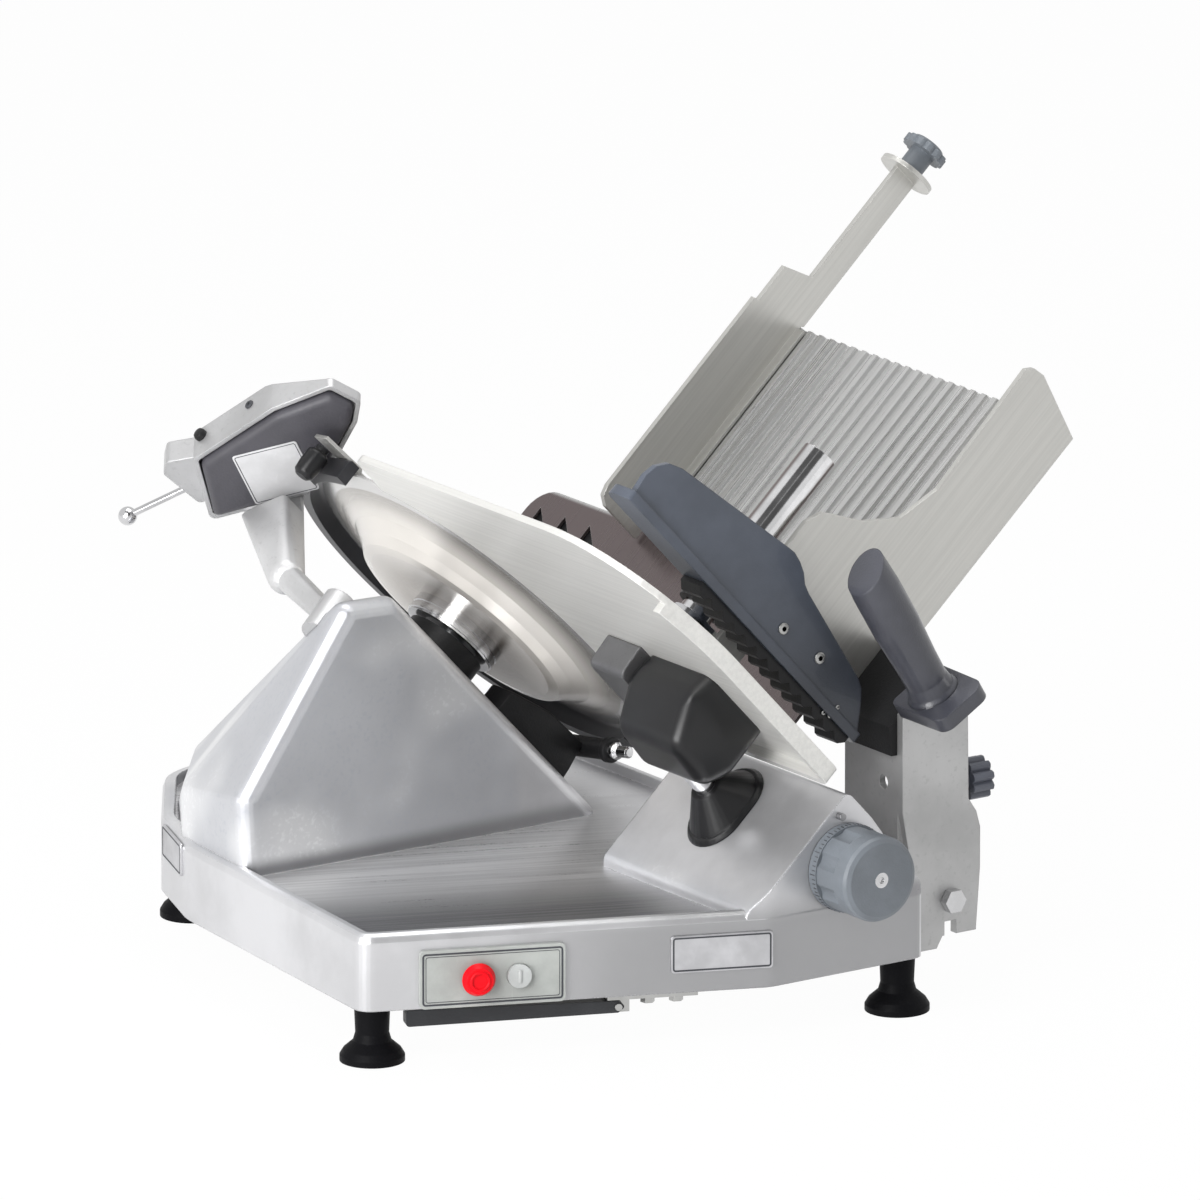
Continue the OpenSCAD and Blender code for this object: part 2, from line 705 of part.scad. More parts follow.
// Handle: thickness of its flange, lean, slant of its end and place on the arm
flange_t = 13;
grip_lean = 31;
grip_cut = 26;
grip_y = -306;
flange_x = 246;
arm_seat_x1 = 268;
// Height of the arm's slanted top, under the handle's flange
function arm_seat(x) = arm_top + (x - flange_x) * tan(grip_lean);
arm_outline = [[225, arm_top - 96], [236, 98], [244, 36], [260, 36], [266, 46], [300, 46], [304, 100],
  [304, 134], [300, 148], [292, 160], [291, arm_top - 16], [arm_seat_x1, arm_seat(arm_seat_x1)],
  [225, arm_seat(225)]];
flank_x = 225;
flank_z = 102;
flank_back = arm_back + 74;
bracket_z = 206;
module carriage_arm() {
  color("silver") difference() {
    union() {
      front_slice(arm_outline, arm_y - arm_t / 2, arm_back);
      // Flank along the base's right side
      box([flank_x, arm_back - 1, flank_z], [flank_x + 6, flank_back, bracket_z]);
      // Boss for the tilt knob's stud
      box([boss_x0, arm_back - 1, tilt_knob_z - 15], [boss_x1, arm_back + 22, tilt_knob_z + 15]);
    }
    translate([flank_x - 1, arm_back + 19, 179]) rotate([0, 90, 0]) cylinder(r = 6, h = 8);
    along_y([pivot_x, pivot_z], pivot_r + fit, arm_y - 20, arm_y + 20);
    front_slice([[268, 40], [280, 40], [280, 58], [268, 58]], arm_y - 20, arm_y + 20);
    translate([boss_x0 - 1, arm_back + tilt_knob_in, tilt_knob_z]) rotate([0, 90, 0])
      cylinder(r = stud_r + fit, h = boss_x1 - boss_x0 + 2);
  }
}
module pivot_bolt() {
  color("silver") {
    along_y([pivot_x, pivot_z], pivot_r, arm_y - arm_t / 2 - run_gap, slider_y1 - 50);
    translate([pivot_x, arm_y - arm_t / 2 - run_gap, pivot_z]) rotate([90, 0, 0]) hex_head(10.5, 8);
  }
}
boss_x0 = 264;
boss_x1 = 288;
tilt_knob_in = 12;
tilt_knob_z = 170;
stud_r = 6;
module tilt_knob() {
  color("slategray") translate([boss_x1 + run_gap, arm_back + tilt_knob_in, tilt_knob_z]) rotate([0, 90,
    0]) {
    translate([0, 0, boss_x0 - boss_x1 - 4]) cylinder(r = stud_r, h = boss_x1 - boss_x0 + 6);
    cylinder(r = 10, h = 14);
    translate([0, 0, 12]) linear_extrude(20) polygon(grip_outline(18, 10, 4));
  }
}
floor_under = floor_low + 6;
bracket_top = -floor_under - 18;
bracket_outline = [front_pt(bracket_top, 70), [219, bracket_z], [258, bracket_z], front_pt(-158, 116),
  front_pt(bracket_top, 140)];
module carriage_bracket() {
  color("dimgray") front_slice(bracket_outline, arm_back, knife_y - wall_reach);
}
// Near wall of the table, in height and distance, with a tongue for the rod's clamp
clamp_w = 26;
clamp_t = 14;
wall_outline = [[14, clamp_w], [14, 82], [16, 84], [16, 160], [8, 176], [-30, 196], [-58, 222], [-70,
  262], [-66, 388], [-72, 394], [-84, 396],
  [-148, 378], [-146, 92], [-120, 80], [-24, 80], [-18, 74], [-18, clamp_w]];
module end_wall() {
  color("lightgray") blade_frame() blade_slice(wall_outline, -wall_reach, -wall_reach + wall_t);
}
table_x0 = -wall_reach + wall_t;
table_x1 = 44;
apron_x1 = 172;
table_w0 = 14;
apron_w = 154;
table_top = -floor_low - rib_h;
rib_n = floor((table_x1 - table_x0 - 10) / rib_pitch);
module product_table() {
  color("lightgray") blade_frame() difference() {
    union() {
      box([table_x0, -floor_under, table_w0], [table_x1, table_top, table_len]);
      // Apron along the knife, past the fence
      translate([0, table_top, 0]) rotate([90, 0, 0]) linear_extrude(floor_under + table_top)
        polygon(rounded(
        [[table_x1 - 20, table_w0], [apron_x1, table_w0], [apron_x1, apron_w], [table_x1 - 20, apron_w]],
          [2, 8, 24, 2]));
      // Ribs
      for (i = [0 : rib_n]) let (x = table_x0 + 5 + i * rib_pitch)
        translate([x, table_top, apron_w]) linear_extrude(table_len - apron_w)
          polygon([[-5, -1], [5, -1], [3, rib_h], [-3, rib_h]]);
      // Stiffening beam below
      blade_slice([[-floor_under, 96], [-floor_under - 22, 104], [-floor_under - 22, 132], [-floor_under,
        140]], table_x0, table_x1);
    }
    for (i = [0 : 2]) translate([58 + 36 * i, -floor_under - 1, 116]) rotate([-90, 0, 0])
      linear_extrude(20) polygon([[0, 0], [26, 0], [26, -20]]);
  }
}
module handle_frame() {
  translate([flange_x, grip_y, arm_top]) rotate([0, -grip_lean, 0]) children();
}
module handle_flange() {
  color("dimgray") handle_frame() linear_extrude(flange_t) polygon(rounded(
    [[-26, -42], [26, -42], [28, arm_back - grip_y], [-26, arm_back - grip_y]], [10, 12, 8, 8]));
}
module handle_grip() {
  color("dimgray") handle_frame() translate([0, 0, flange_t]) difference() {
    rotate_extrude() polygon([[0, 0], [grip_r + 3, 0], [grip_r, 4], [grip_r - 2, 14], [grip_r - 1.5, 36],
      [grip_r + 0.5, 72], [grip_r + 0.5, 112], [grip_r - 1.5, grip_len + 14], [0, grip_len + 24]]);
    // Slanted end
    translate([0, 0, grip_len]) rotate([0, -grip_cut, 0]) box([-60, -60, 0], [60, 60, 60]);
  }
}

// Pusher on its rod

rod_x = -295;
rod_u = 30;
rod_w0 = clamp_w;
rod_w1 = 214;
module slide_rod() {
  color("silver") blade_frame() translate([rod_x, rod_u, rod_w0]) difference() {
    cylinder(r = rod_r, h = rod_w1 - rod_w0);
    translate([0, 0, rod_w1 - rod_w0 - 5]) cylinder(r = rod_r - 3, h = 10);
  }
}
module rod_clamp() {
  color("silver") blade_frame() difference() {
    union() {
      box([table_x0, -18, clamp_w], [rod_x + 8, rod_u, clamp_w + clamp_t]);
      translate([rod_x, rod_u, clamp_w]) cylinder(r = rod_r + 4, h = clamp_t);
    }
    translate([rod_x, rod_u, clamp_w - 1]) cylinder(r = rod_r, h = clamp_t + 2);
  }
}
plate_w0 = 44;
plate_w1 = plate_w0 + pusher_t;
plate_x0 = -wall_reach - 59;
plate_x1 = plate_x0 + pusher_w;
plate_u0 = -floor_low - 19;
plate_u1 = plate_u0 + pusher_len;
back_in = 3;
back_t = 6;
// Outline of the pusher's back, from its low end: along the plate, and above it
back_outline = [[3, 0], [pusher_len - 3, 0], [pusher_len - 1, 16], [pusher_len - 4, 28],
  [pusher_len - 13, 38],
  [pusher_len - 26, 43], [174, pusher_back - 1], [166, pusher_back], [156, pusher_back - 2], [146,
    pusher_back - 6],
  [138, pusher_back - 12], [129, pusher_back - 15], [36, 32], [27, 28], [18, 19]];
module pusher_plate() {
  color("slategray") blade_frame() {
    translate([0, 0, plate_w0]) linear_extrude(pusher_t) polygon(rounded([[plate_x0, plate_u0],
      [plate_x1, plate_u0],
      [plate_x1, plate_u1], [plate_x0, plate_u1]], [3, 8, 12, 3]));
    blade_slice([for (p = back_outline) [plate_u0 + p[0], plate_w1 + p[1]]], plate_x0 + back_in,
      plate_x0 + back_in + back_t);
  }
}
collar_len = 46;
bushing_wall = 4.5;
bushing_r = rod_r + bushing_wall;
collar_t = 2.5;
bushing_lip = 1.5;
module pusher_bushing() {
  color("black") blade_frame() translate([rod_x, rod_u, plate_w1 - 4]) difference() {
    union() {
      cylinder(r = bushing_r, h = collar_len + 8);
      cylinder(r = bushing_r + bushing_lip, h = 4 - run_gap);
      translate([0, 0, collar_len + 4 + run_gap]) cylinder(r = bushing_r + bushing_lip, h = 4 - run_gap);
    }
    translate([0, 0, -1]) cylinder(r = rod_r + fit, h = collar_len + 20);
  }
}
module pusher_collar() {
  color("dimgray") blade_frame() difference() {
    union() {
      translate([rod_x, rod_u, plate_w1]) cylinder(r = bushing_r + collar_t, h = collar_len);
      box([plate_x0 + back_in + back_t, rod_u - 12, plate_w1], [rod_x, rod_u + 12, plate_w1 + 10]);
    }
    translate([rod_x, rod_u, 0]) cylinder(r = bushing_r + fit, h = 300);
  }
}
teeth_h = 10;
teeth_u0 = plate_u0 + 6;
teeth_len = 214;
// Saw-toothed grip under the plate
module pusher_teeth() {
  pitch = teeth_len / teeth_n;
  color("black") blade_frame() blade_slice(concat([[teeth_u0 + teeth_len, plate_w0], [teeth_u0, plate_w0]],
    [for (i = [0 : teeth_n - 1], q = [[0, 0.45], [0.35, 1], [0.6, 1]])
      [teeth_u0 + pitch * (i + q[0]), plate_w0 - teeth_h * q[1]]],
    [[teeth_u0 + teeth_len, plate_w0 - teeth_h * 0.45]]), plate_x0 + 4, plate_x1 - 4);
}

// Fence

fence_x = 15;
fence_w0 = 138;
fence_rest = -floor_low + run_gap;
fence_top = fence_rest + fence_h;
bar_u0 = fence_rest - 2;
bar_u1 = fence_rest + 23;
fence_end = table_len + fence_bar;
disc_r = 25;
disc_t = 4;
// How far the fence's foot and bar reach into what they join
lap = 1;
module fence() {
  color("lightgray") blade_frame() {
    blade_slice([[fence_rest, fence_w0], [fence_top - 12, fence_w0], [fence_top - 3, fence_w0 + 5],
      [fence_top, fence_w0 + 14],
      [fence_top, table_len - 12], [fence_rest, table_len - 3]], fence_x, fence_x + fence_t);
    // Low foot along the ribs
    box([fence_x - 10, fence_rest, fence_w0 + 20], [fence_x + lap, fence_rest + 3, table_len - 3]);
    // Bar behind the table
    blade_slice([[bar_u0, table_len + 2], [fence_rest, table_len + 2], [fence_rest, table_len - 20],
      [fence_top - 5, table_len - 20], [fence_top - 5, table_len + 26], [bar_u1, table_len + 37],
        [bar_u1, fence_end + lap],
      [bar_u0, fence_end + lap]], fence_x, fence_x + fence_t);
    // Disc that the knob clamps
    translate([fence_x + 2, (bar_u0 + bar_u1) / 2, fence_end]) cylinder(r = disc_r, h = disc_t);
  }
}
module fence_knob() {
  color("slategray") blade_frame() translate([fence_x + 2, (bar_u0 + bar_u1) / 2,
    fence_end + disc_t + run_gap]) {
    cylinder(r = 11, h = 20);
    translate([0, 0, 20]) linear_extrude(7) polygon(grip_outline(20, 12, 2));
    translate([0, 0, 27]) cylinder(r1 = 17, r2 = 14, h = 3);
  }
}

// Sharpener beyond the knife's far upper edge

sharp_place = [141, 166, -14];
module sharp_frame() { blade_frame() translate(sharp_place) rotate([0, -45, 0]) children(); }
// Fronts of the body and its cover, from the sharpener's centre: to the operator, and up the knife's plane
body_front = [[-62, -15], [22, -34], [37, -34], [105, 12], [121, 30], [110, 59], [54, 64], [-34, 51]];
cover_front = [[-56, -12], [23, -29], [36, -29], [102, 16], [115, 31], [106, 53], [54, 58], [-30, 46]];
// Block at the body's far end, which carries the lever
block_front = [[-62, 2], [-34, -4], [-30, 46], [-58, 56], [-68, 46]];
sharp_x0 = -31;
module sharp_slice(outline, x0, x1) {
  translate([x0, 0, 0]) rotate([0, -90, 0]) mirror([0, 0, 1]) linear_extrude(x1 - x0) polygon(outline);
}
// Body with its back sloping to the near end, set in by d and open at the front
module sharp_body(d) {
  intersection() {
    sharp_slice(rounded(inset(body_front, d), 6 - d / 2), sharp_x0 - d, sharp_x0 + 80);
    translate([sharp_x0, 80, 0]) rotate([90, 0, 0]) linear_extrude(160) polygon([[-10, -100],
      [sharp_d - d, -100],
      [sharp_d - d, 46], [sharp_near - d, 106], [sharp_near - d, 130], [-10, 130]]);
  }
}
lever_x = -12;
lever_r = 3;
lever_y = 12;
lever_z = -72;
module sharpener_housing() {
  color("silver") difference() {
    sharp_frame() difference() {
      union() {
        sharp_body(0);
        sharp_slice(rounded(block_front, 5), sharp_x0 + 6, sharp_x0 + sharp_d - 2);
      }
      sharp_body(sharp_wall);
      translate([lever_x, lever_y, lever_z - 20]) cylinder(r = lever_r + fit, h = 60);
    }
    // Room for the knife's edge and its guard
    blade_frame() translate([0, 0, ring_lo - 4]) cylinder(r = ring_out + 1, h = ring_hi - ring_lo + 12);
  }
}
module sharpener_cover() {
  color("dimgray") difference() {
    sharp_frame() {
      sharp_slice(rounded(inset(body_front, 1), 5), sharp_x0 - 2, sharp_x0);
      sharp_slice(rounded(cover_front, 5), sharp_x0 - sharp_cover_t, sharp_x0 - 2);
    }
    blade_frame() translate([0, 0, ring_lo - 4]) cylinder(r = ring_out + 1, h = ring_hi - ring_lo + 12);
  }
}
stone_r = 11;
module sharpener_stones() {
  color("dimgray") sharp_frame() for (z = [-14, 14]) translate([sharp_x0, 24, z]) rotate([0, 90, 0]) {
    cylinder(r = 4, h = 8);
    translate([0, 0, 8]) cylinder(r = stone_r, h = 6);
  }
}
module sharpener_lever() {
  color("silver") sharp_frame() {
    translate([lever_x, lever_y, lever_z - 56]) cylinder(r = lever_r, h = 90);
    translate([lever_x, lever_y, lever_z - 56]) sphere(r = 8);
  }
}
// Bend of the sharpener's arm, and its foot on the housing's ridge
arm_bend = [-94, 150, 314];
arm_foot = [-108, 66, 300];
module sharpener_arm() {
  color("silver") difference() {
    union() {
      hull() {
        sharp_frame() translate([-14, -40, -20]) rotate([-90, 0, 0]) cylinder(r = 17, h = 30, $fn = 32);
        sharp_frame() translate([-25, -40, 4]) rotate([-90, 0, 0]) cylinder(r = 11, h = 30, $fn = 32);
        translate(arm_bend) sphere(r = 16, $fn = 24);
      }
      hull() {
        translate(arm_bend) sphere(r = 12, $fn = 20);
        translate(arm_foot) sphere(r = 10, $fn = 20);
      }
      // Round end that clamps on the housing's ridge
      translate(arm_foot - [16, 6, 12]) rotate([0, 58, 20]) cylinder(r = 15, h = 40);
    }
    housing(-seat_gap);
    sharp_frame() sharp_slice(rounded(inset(body_front, -seat_gap), 6), sharp_x0 - 20, sharp_x0 + 80);
  }
}

// Middle of the machine's outline on the counter, from the point that the modules measure from
middle = [150.4, -16.5, 0];
module placed() { translate(-middle) children(); }

placed() base_housing();
placed() bottom_cover();
placed() feet();
placed() foot_screws();
placed() kickstand();
placed() kickstand_bracket();
placed() kickstand_bolts();
placed() switch_panel();
placed() stop_button();
placed() start_button();
placed() index_pin();
placed() motor();
placed() motor_pulley();
placed() drive_belt();
placed() knife_pulley();
placed() knife_shaft();
placed() knife_bearings();
placed() bearing_housing();
placed() hub_ring();
placed() knife();
placed() knife_screws();
placed() ring_guard();
placed() top_knife_cover();
placed() cover_latch();
placed() index_knob();
placed() index_dial();
placed() index_screw();
placed() index_shaft();
placed() index_cam();
placed() gauge_plate();
placed() gauge_bracket();
placed() gauge_block();
placed() gauge_post();
placed() gauge_boot();
placed() gauge_slide();
placed() gauge_guide();
placed() transport_rod();
placed() rod_supports();
placed() carriage_slider();
placed() carriage_arm();
placed() pivot_bolt();
placed() tilt_knob();
placed() carriage_bracket();
placed() end_wall();
placed() product_table();
placed() handle_grip();
placed() handle_flange();
placed() slide_rod();
placed() rod_clamp();
placed() pusher_plate();
placed() pusher_bushing();
placed() pusher_collar();
placed() pusher_teeth();
placed() fence();
placed() fence_knob();
placed() sharpener_arm();
placed() sharpener_housing();
placed() sharpener_cover();
placed() sharpener_stones();
placed() sharpener_lever();
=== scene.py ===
"""Food slicer with a motor-driven round knife: finishes, small fittings, studio and camera."""
import json
import math

import bmesh
import bpy
from mathutils import Matrix, Vector


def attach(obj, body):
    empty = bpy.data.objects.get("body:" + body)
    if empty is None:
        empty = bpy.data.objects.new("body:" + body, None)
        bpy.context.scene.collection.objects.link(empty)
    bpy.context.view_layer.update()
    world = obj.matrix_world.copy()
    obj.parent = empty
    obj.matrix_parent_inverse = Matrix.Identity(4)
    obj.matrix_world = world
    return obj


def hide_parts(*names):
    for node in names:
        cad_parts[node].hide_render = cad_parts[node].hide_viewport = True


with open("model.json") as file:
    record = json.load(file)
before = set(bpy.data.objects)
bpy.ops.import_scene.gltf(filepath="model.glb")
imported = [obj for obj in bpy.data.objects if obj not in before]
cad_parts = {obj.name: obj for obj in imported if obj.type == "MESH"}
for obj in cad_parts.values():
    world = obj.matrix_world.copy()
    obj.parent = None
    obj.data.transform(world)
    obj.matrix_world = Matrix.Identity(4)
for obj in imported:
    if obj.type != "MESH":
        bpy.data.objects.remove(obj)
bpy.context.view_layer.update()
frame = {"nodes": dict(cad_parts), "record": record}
nodes = frame["nodes"]
MM = 0.001


# Frames of the machine

def axes(origin, x, y, z):
    """A frame with these axes, its origin in millimetres."""
    place = Matrix.Identity(4)
    for row in range(3):
        place[row][0], place[row][1], place[row][2] = x[row], y[row], z[row]
        place[row][3] = origin[row] * MM
    return place


def shift(x, y, z):
    """A move in millimetres."""
    return Matrix.Translation(Vector((x, y, z)) * MM)


def turn(degrees, axis):
    return Matrix.Rotation(math.radians(degrees), 4, axis)


# The knife: x away from the operator, y up along its plane, z towards the product
TILT = math.radians(43)
BLADE = axes((-69.4, 135.5, 274), (0, 1, 0), (-math.sin(TILT), 0, math.cos(TILT)),
             (math.cos(TILT), 0, math.sin(TILT)))
# The base's slanted front face: x along it from the left corner, y up, z out of it
FRONT_TURN = math.atan2(-131, 318)
FRONT = axes((-410.4, -183.5, 0), (math.cos(FRONT_TURN), math.sin(FRONT_TURN), 0), (0, 0, 1),
             (math.sin(FRONT_TURN), -math.cos(FRONT_TURN), 0))
# The base's left rear face: x along it to the front, y up, z out of it
REAR = axes((-356.4, 169, 95), (-0.352, -0.936, 0), (0, 0, 1), (-0.936, 0.352, 0))
# The index knob: x to the right, y up, z towards the operator, from the wall behind the dial
INDEX = axes((-17.4, -314.5, 139), (1, 0, 0), (0, 0, 1), (0, -1, 0))
# The sharpener, and its front cover: x towards the operator, y up, z out of it
SHARP = BLADE @ shift(141, 166, -14) @ turn(-45, "Y")
COVER = SHARP @ axes((-37, 0, 0), (0, 0, 1), (0, 1, 0), (-1, 0, 0))
# The sharpener's sloping top, z out of it
SHARP_TOP = SHARP @ shift(-9, 52.4, -25) @ axes((0, 0, 0), (1, 0, 0), (0, 0.146, 0.989), (0, 0.989, -0.146))
# The pusher's back: x down along the knife's plane, y away from it, z towards the operator
PUSHER_BACK = BLADE @ axes((-375, 0, 0), (0, -1, 0), (0, 0, 1), (-1, 0, 0))


# Shader sums, and one finish made of nodes

class Value:
    """A node's output, for sums and products written as Python."""

    def __init__(self, tree, socket):
        self.tree = tree
        self.socket = socket

    def sum(self, operation, *terms):
        node = self.tree.nodes.new("ShaderNodeMath")
        node.operation = operation
        for socket, term in zip(node.inputs, terms):
            if isinstance(term, Value):
                self.tree.links.new(term.socket, socket)
            else:
                socket.default_value = term
        return Value(self.tree, node.outputs[0])

    def __add__(self, other):
        return self.sum("ADD", self, other)

    __radd__ = __add__

    def __sub__(self, other):
        return self.sum("SUBTRACT", self, other)

    def __rsub__(self, other):
        return self.sum("SUBTRACT", other, self)

    def __mul__(self, other):
        return self.sum("MULTIPLY", self, other)

    __rmul__ = __mul__

    def __pow__(self, other):
        return self.sum("POWER", self, other)

    def most(self, other):
        return self.sum("MAXIMUM", self, other)


class Finish:
    """One material: a principled shader with what its nodes work out."""

    def __init__(self, name, colour, rough, metal=0.0):
        self.material = bpy.data.materials.new(name)
        self.material.use_nodes = True
        self.tree = self.material.node_tree
        self.tree.nodes.clear()
        self.shader = self.tree.nodes.new("ShaderNodeBsdfPrincipled")
        self.last = self.tree.nodes.new("ShaderNodeOutputMaterial")
        self.tree.links.new(self.shader.outputs[0], self.last.inputs["Surface"])
        self.set("Base Color", (*colour, 1))
        self.set("Roughness", rough)
        self.set("Metallic", metal)
        self.place = self.make("TexCoord", {}, {}, "Object")

    def make(self, kind, settings, inputs, out=0):
        """Any node: its settings first, then the values or links of its sockets."""
        node = self.tree.nodes.new("ShaderNode" + kind)
        for key, value in settings.items():
            setattr(node, key, value)
        for key, value in inputs.items():
            if isinstance(value, Value):
                self.tree.links.new(value.socket, node.inputs[key])
            else:
                node.inputs[key].default_value = value
        return Value(self.tree, node.outputs[out])

    def set(self, name, value):
        """A number, colour or link on the shader's own socket."""
        if isinstance(value, Value):
            self.tree.links.new(value.socket, self.shader.inputs[name])
        else:
            self.shader.inputs[name].default_value = value

    def mix(self, factor, a, b):
        """Colour a where the factor is 0, b where it is 1."""
        a, b = [(*c, 1) if isinstance(c, tuple) else c for c in (a, b)]
        return self.make("Mix", {"data_type": "RGBA"}, {0: factor, 6: a, 7: b}, 2)

    def seen_in(self, place):
        """Object coordinates as seen in a frame of the machine."""
        return self.make("Mapping", {"vector_type": "TEXTURE"}, {
            "Vector": self.place, "Location": place.to_translation(), "Rotation": place.to_euler()})

    def stretched(self, vector, scale):
        return self.make("Mapping", {"vector_type": "POINT"}, {"Vector": vector, "Scale": scale})

    def grain(self, scale, detail, rough, at=None):
        """Soft noise about 0.5."""
        return self.make("TexNoise", {}, {
            "Vector": at or self.place, "Scale": scale, "Detail": detail, "Roughness": rough})

    def step(self, value, lo, hi):
        """0 below lo, 1 above hi, smooth between."""
        return self.make("MapRange", {"interpolation_type": "SMOOTHSTEP"}, {
            "Value": value, "From Min": lo, "From Max": hi})

    def parts(self, vector):
        """The x, y and z of a vector."""
        node = self.tree.nodes.new("ShaderNodeSeparateXYZ")
        self.tree.links.new(vector.socket, node.inputs[0])
        return [Value(self.tree, out) for out in node.outputs]

    def soft_edges(self, radius):
        """Normal with the edges softened, and a mask that is 1 along them."""
        normal = self.make("Bevel", {"samples": 4}, {"Radius": radius})
        true = self.make("NewGeometry", {}, {}, "True Normal")
        along = self.make("VectorMath", {"operation": "DOT_PRODUCT"}, {0: normal, 1: true}, "Value")
        return normal, self.step(1 - along, 0.02, 0.25)

    def bump(self, height, depth, normal=None):
        inputs = {"Height": height, "Distance": depth, "Strength": 1.0}
        if normal:
            inputs["Normal"] = normal
        self.set("Normal", self.make("Bump", {}, inputs))


def tone(colour, factor):
    """The same colour, lighter or darker."""
    return tuple(min(1.0, part * factor) for part in colour)


def cast_metal(name, colour, rough, edge=1.6):
    """Satin cast aluminium: fine blasted grain, clouds of handling, edges rubbed bright."""
    f = Finish(name, colour, rough, 0.6)
    normal, worn = f.soft_edges(edge * MM)
    clouds = f.grain(9, 5, 0.6)
    fine = f.grain(900, 3, 0.6)
    speck = f.grain(260, 2, 0.5)
    shade = f.mix(f.step(clouds, 0.34, 0.68), tone(colour, 0.86), tone(colour, 1.1))
    shade = f.mix(f.step(speck, 0.58, 0.74) * 0.35, shade, tone(colour, 0.72))
    shade = f.mix(worn * f.step(clouds, 0.3, 0.6) * 0.55, shade, tone(colour, 1.45))
    f.set("Base Color", shade)
    f.set("Roughness", rough + (clouds - 0.5) * 0.18 + (fine - 0.5) * 0.12 - worn * 0.08)
    f.bump(fine * 0.6 + speck * 0.4, 0.00012, normal)
    return f


def base_metal():
    """The casting of the base: blasted walls, a streaked tray floor, and painted sheen, reflection and shade.
    """
    colour = (0.63, 0.63, 0.645)
    # Darker and lighter colours of the housing's painted sheen
    sheen_low, sheen_high = (0.52, 0.535, 0.57), (0.9, 0.905, 0.915)
    # The tray floor's streaks, painted light as a reflection
    streak_reflection_low, streak_reflection_high = (0.66, 0.66, 0.67), (0.84, 0.84, 0.85)
    tray_dark = (0.05, 0.052, 0.06)
    # Painted shade for the crease at the housing's foot
    crease_shade = (0.13, 0.13, 0.14)
    f = Finish("base_casting_satin", colour, 0.36, 0.72)
    normal, worn = f.soft_edges(2.2 * MM)
    x, y, z = f.parts(f.place)
    along, _, out = f.parts(f.seen_in(FRONT))
    _, back, up = f.parts(f.make("NewGeometry", {}, {}, "True Normal"))
    clouds = f.grain(7, 5, 0.6)
    fine = f.grain(900, 3, 0.6)
    speck = f.grain(240, 2, 0.5)
    streaks = f.grain(1, 5, 0.62, f.stretched(f.seen_in(FRONT), (5, 60, 240)))
    shade = f.mix(f.step(clouds, 0.34, 0.68), tone(colour, 0.88), tone(colour, 1.08))
    # The motor housing, above the rim and left of the index wall, has a soft painted sheen in large clouds
    housing = f.step(z, 0.108, 0.118) * (1 - f.step(x, -0.115, -0.095))
    painted_sheen = f.mix(f.step(f.grain(8.5, 2, 0.4), 0.42, 0.62), sheen_low, sheen_high)
    shade = f.mix(housing * (0.55 + 0.35 * f.step(speck, 0.5, 0.72)), shade, painted_sheen)
    # The tray's floor is streaked and painted light as a reflection, and dark towards the front
    tray = f.step(up, 0.9, 0.99) * (1 - f.step(z, 0.106, 0.109))
    rubbed = f.mix(f.step(streaks, 0.36, 0.66), streak_reflection_low, streak_reflection_high)
    dark = f.step(out, -0.21, -0.06) * (0.86 + 0.1 * f.step(streaks, 0.4, 0.6))
    rubbed = f.mix(dark, rubbed, tray_dark)
    left = 1 - f.step(x - y * 0.35, -0.096, 0.014)
    shade = f.mix(tray * left * 0.9, shade, rubbed)
    # Painted shade and reflection of the dark tray along the crease where the housing's front meets the tray
    foot = f.step(-1 * back, 0.5, 0.8) * (1 - f.step(out, -0.04, -0.03)) * (1 - f.step(z, 0.107, 0.122))
    shade = f.mix(foot * housing.most(f.step(z, 0.1, 0.103)) * 0.75, shade, crease_shade)
    # Painted shade: the low front faces are darker towards the right
    front = f.step(-1 * back, 0.85, 0.92) * (1 - f.step(z, 0.1, 0.13)) * f.step(along, 0.03, 0.24)
    shade = f.mix(front * 0.85, shade, tone(colour, 0.5))
    shade = f.mix(worn * f.step(clouds, 0.3, 0.6) * 0.5, shade, tone(colour, 1.5))
    f.set("Base Color", shade)
    blasted = (clouds - 0.5) * 0.2 + (fine - 0.5) * 0.12
    f.set("Roughness", 0.35 + blasted + tray * (streaks - 0.55) * 0.3 - worn * 0.08)
    f.bump(fine * 0.5 + speck * 0.4 + tray * streaks * 0.25, 0.00014, normal)
    return f


def brushed_sheet(name, colour, rough, scale, edge, metal=0.72, apron=None):
    """Stainless sheet, brushed one way, with faint smears; an apron below that height gets a painted dark
    brown reflection.
    """
    f = Finish(name, colour, rough, metal)
    normal, worn = f.soft_edges(edge * MM)
    seen = f.seen_in(BLADE)
    lines = f.grain(1, 6, 0.7, f.stretched(seen, scale))
    smear = f.grain(6, 4, 0.6)
    shade = f.mix(f.step(lines, 0.3, 0.7), tone(colour, 0.93), tone(colour, 1.05))
    shade = f.mix(f.step(smear, 0.5, 0.75) * 0.2, shade, tone(colour, 0.86))
    if apron:
        # Painted dark brown reflection on the apron
        low = 1 - f.step(f.parts(seen)[2], apron - 0.002, apron + 0.002)
        shade = f.mix(low, shade, (0.15, 0.122, 0.122))
    f.set("Base Color", f.mix(worn * 0.5, shade, tone(colour, 1.5)))
    f.set("Roughness", rough + (lines - 0.5) * 0.16 + (smear - 0.5) * 0.1)
    f.bump(lines, 0.00002, normal)
    return f


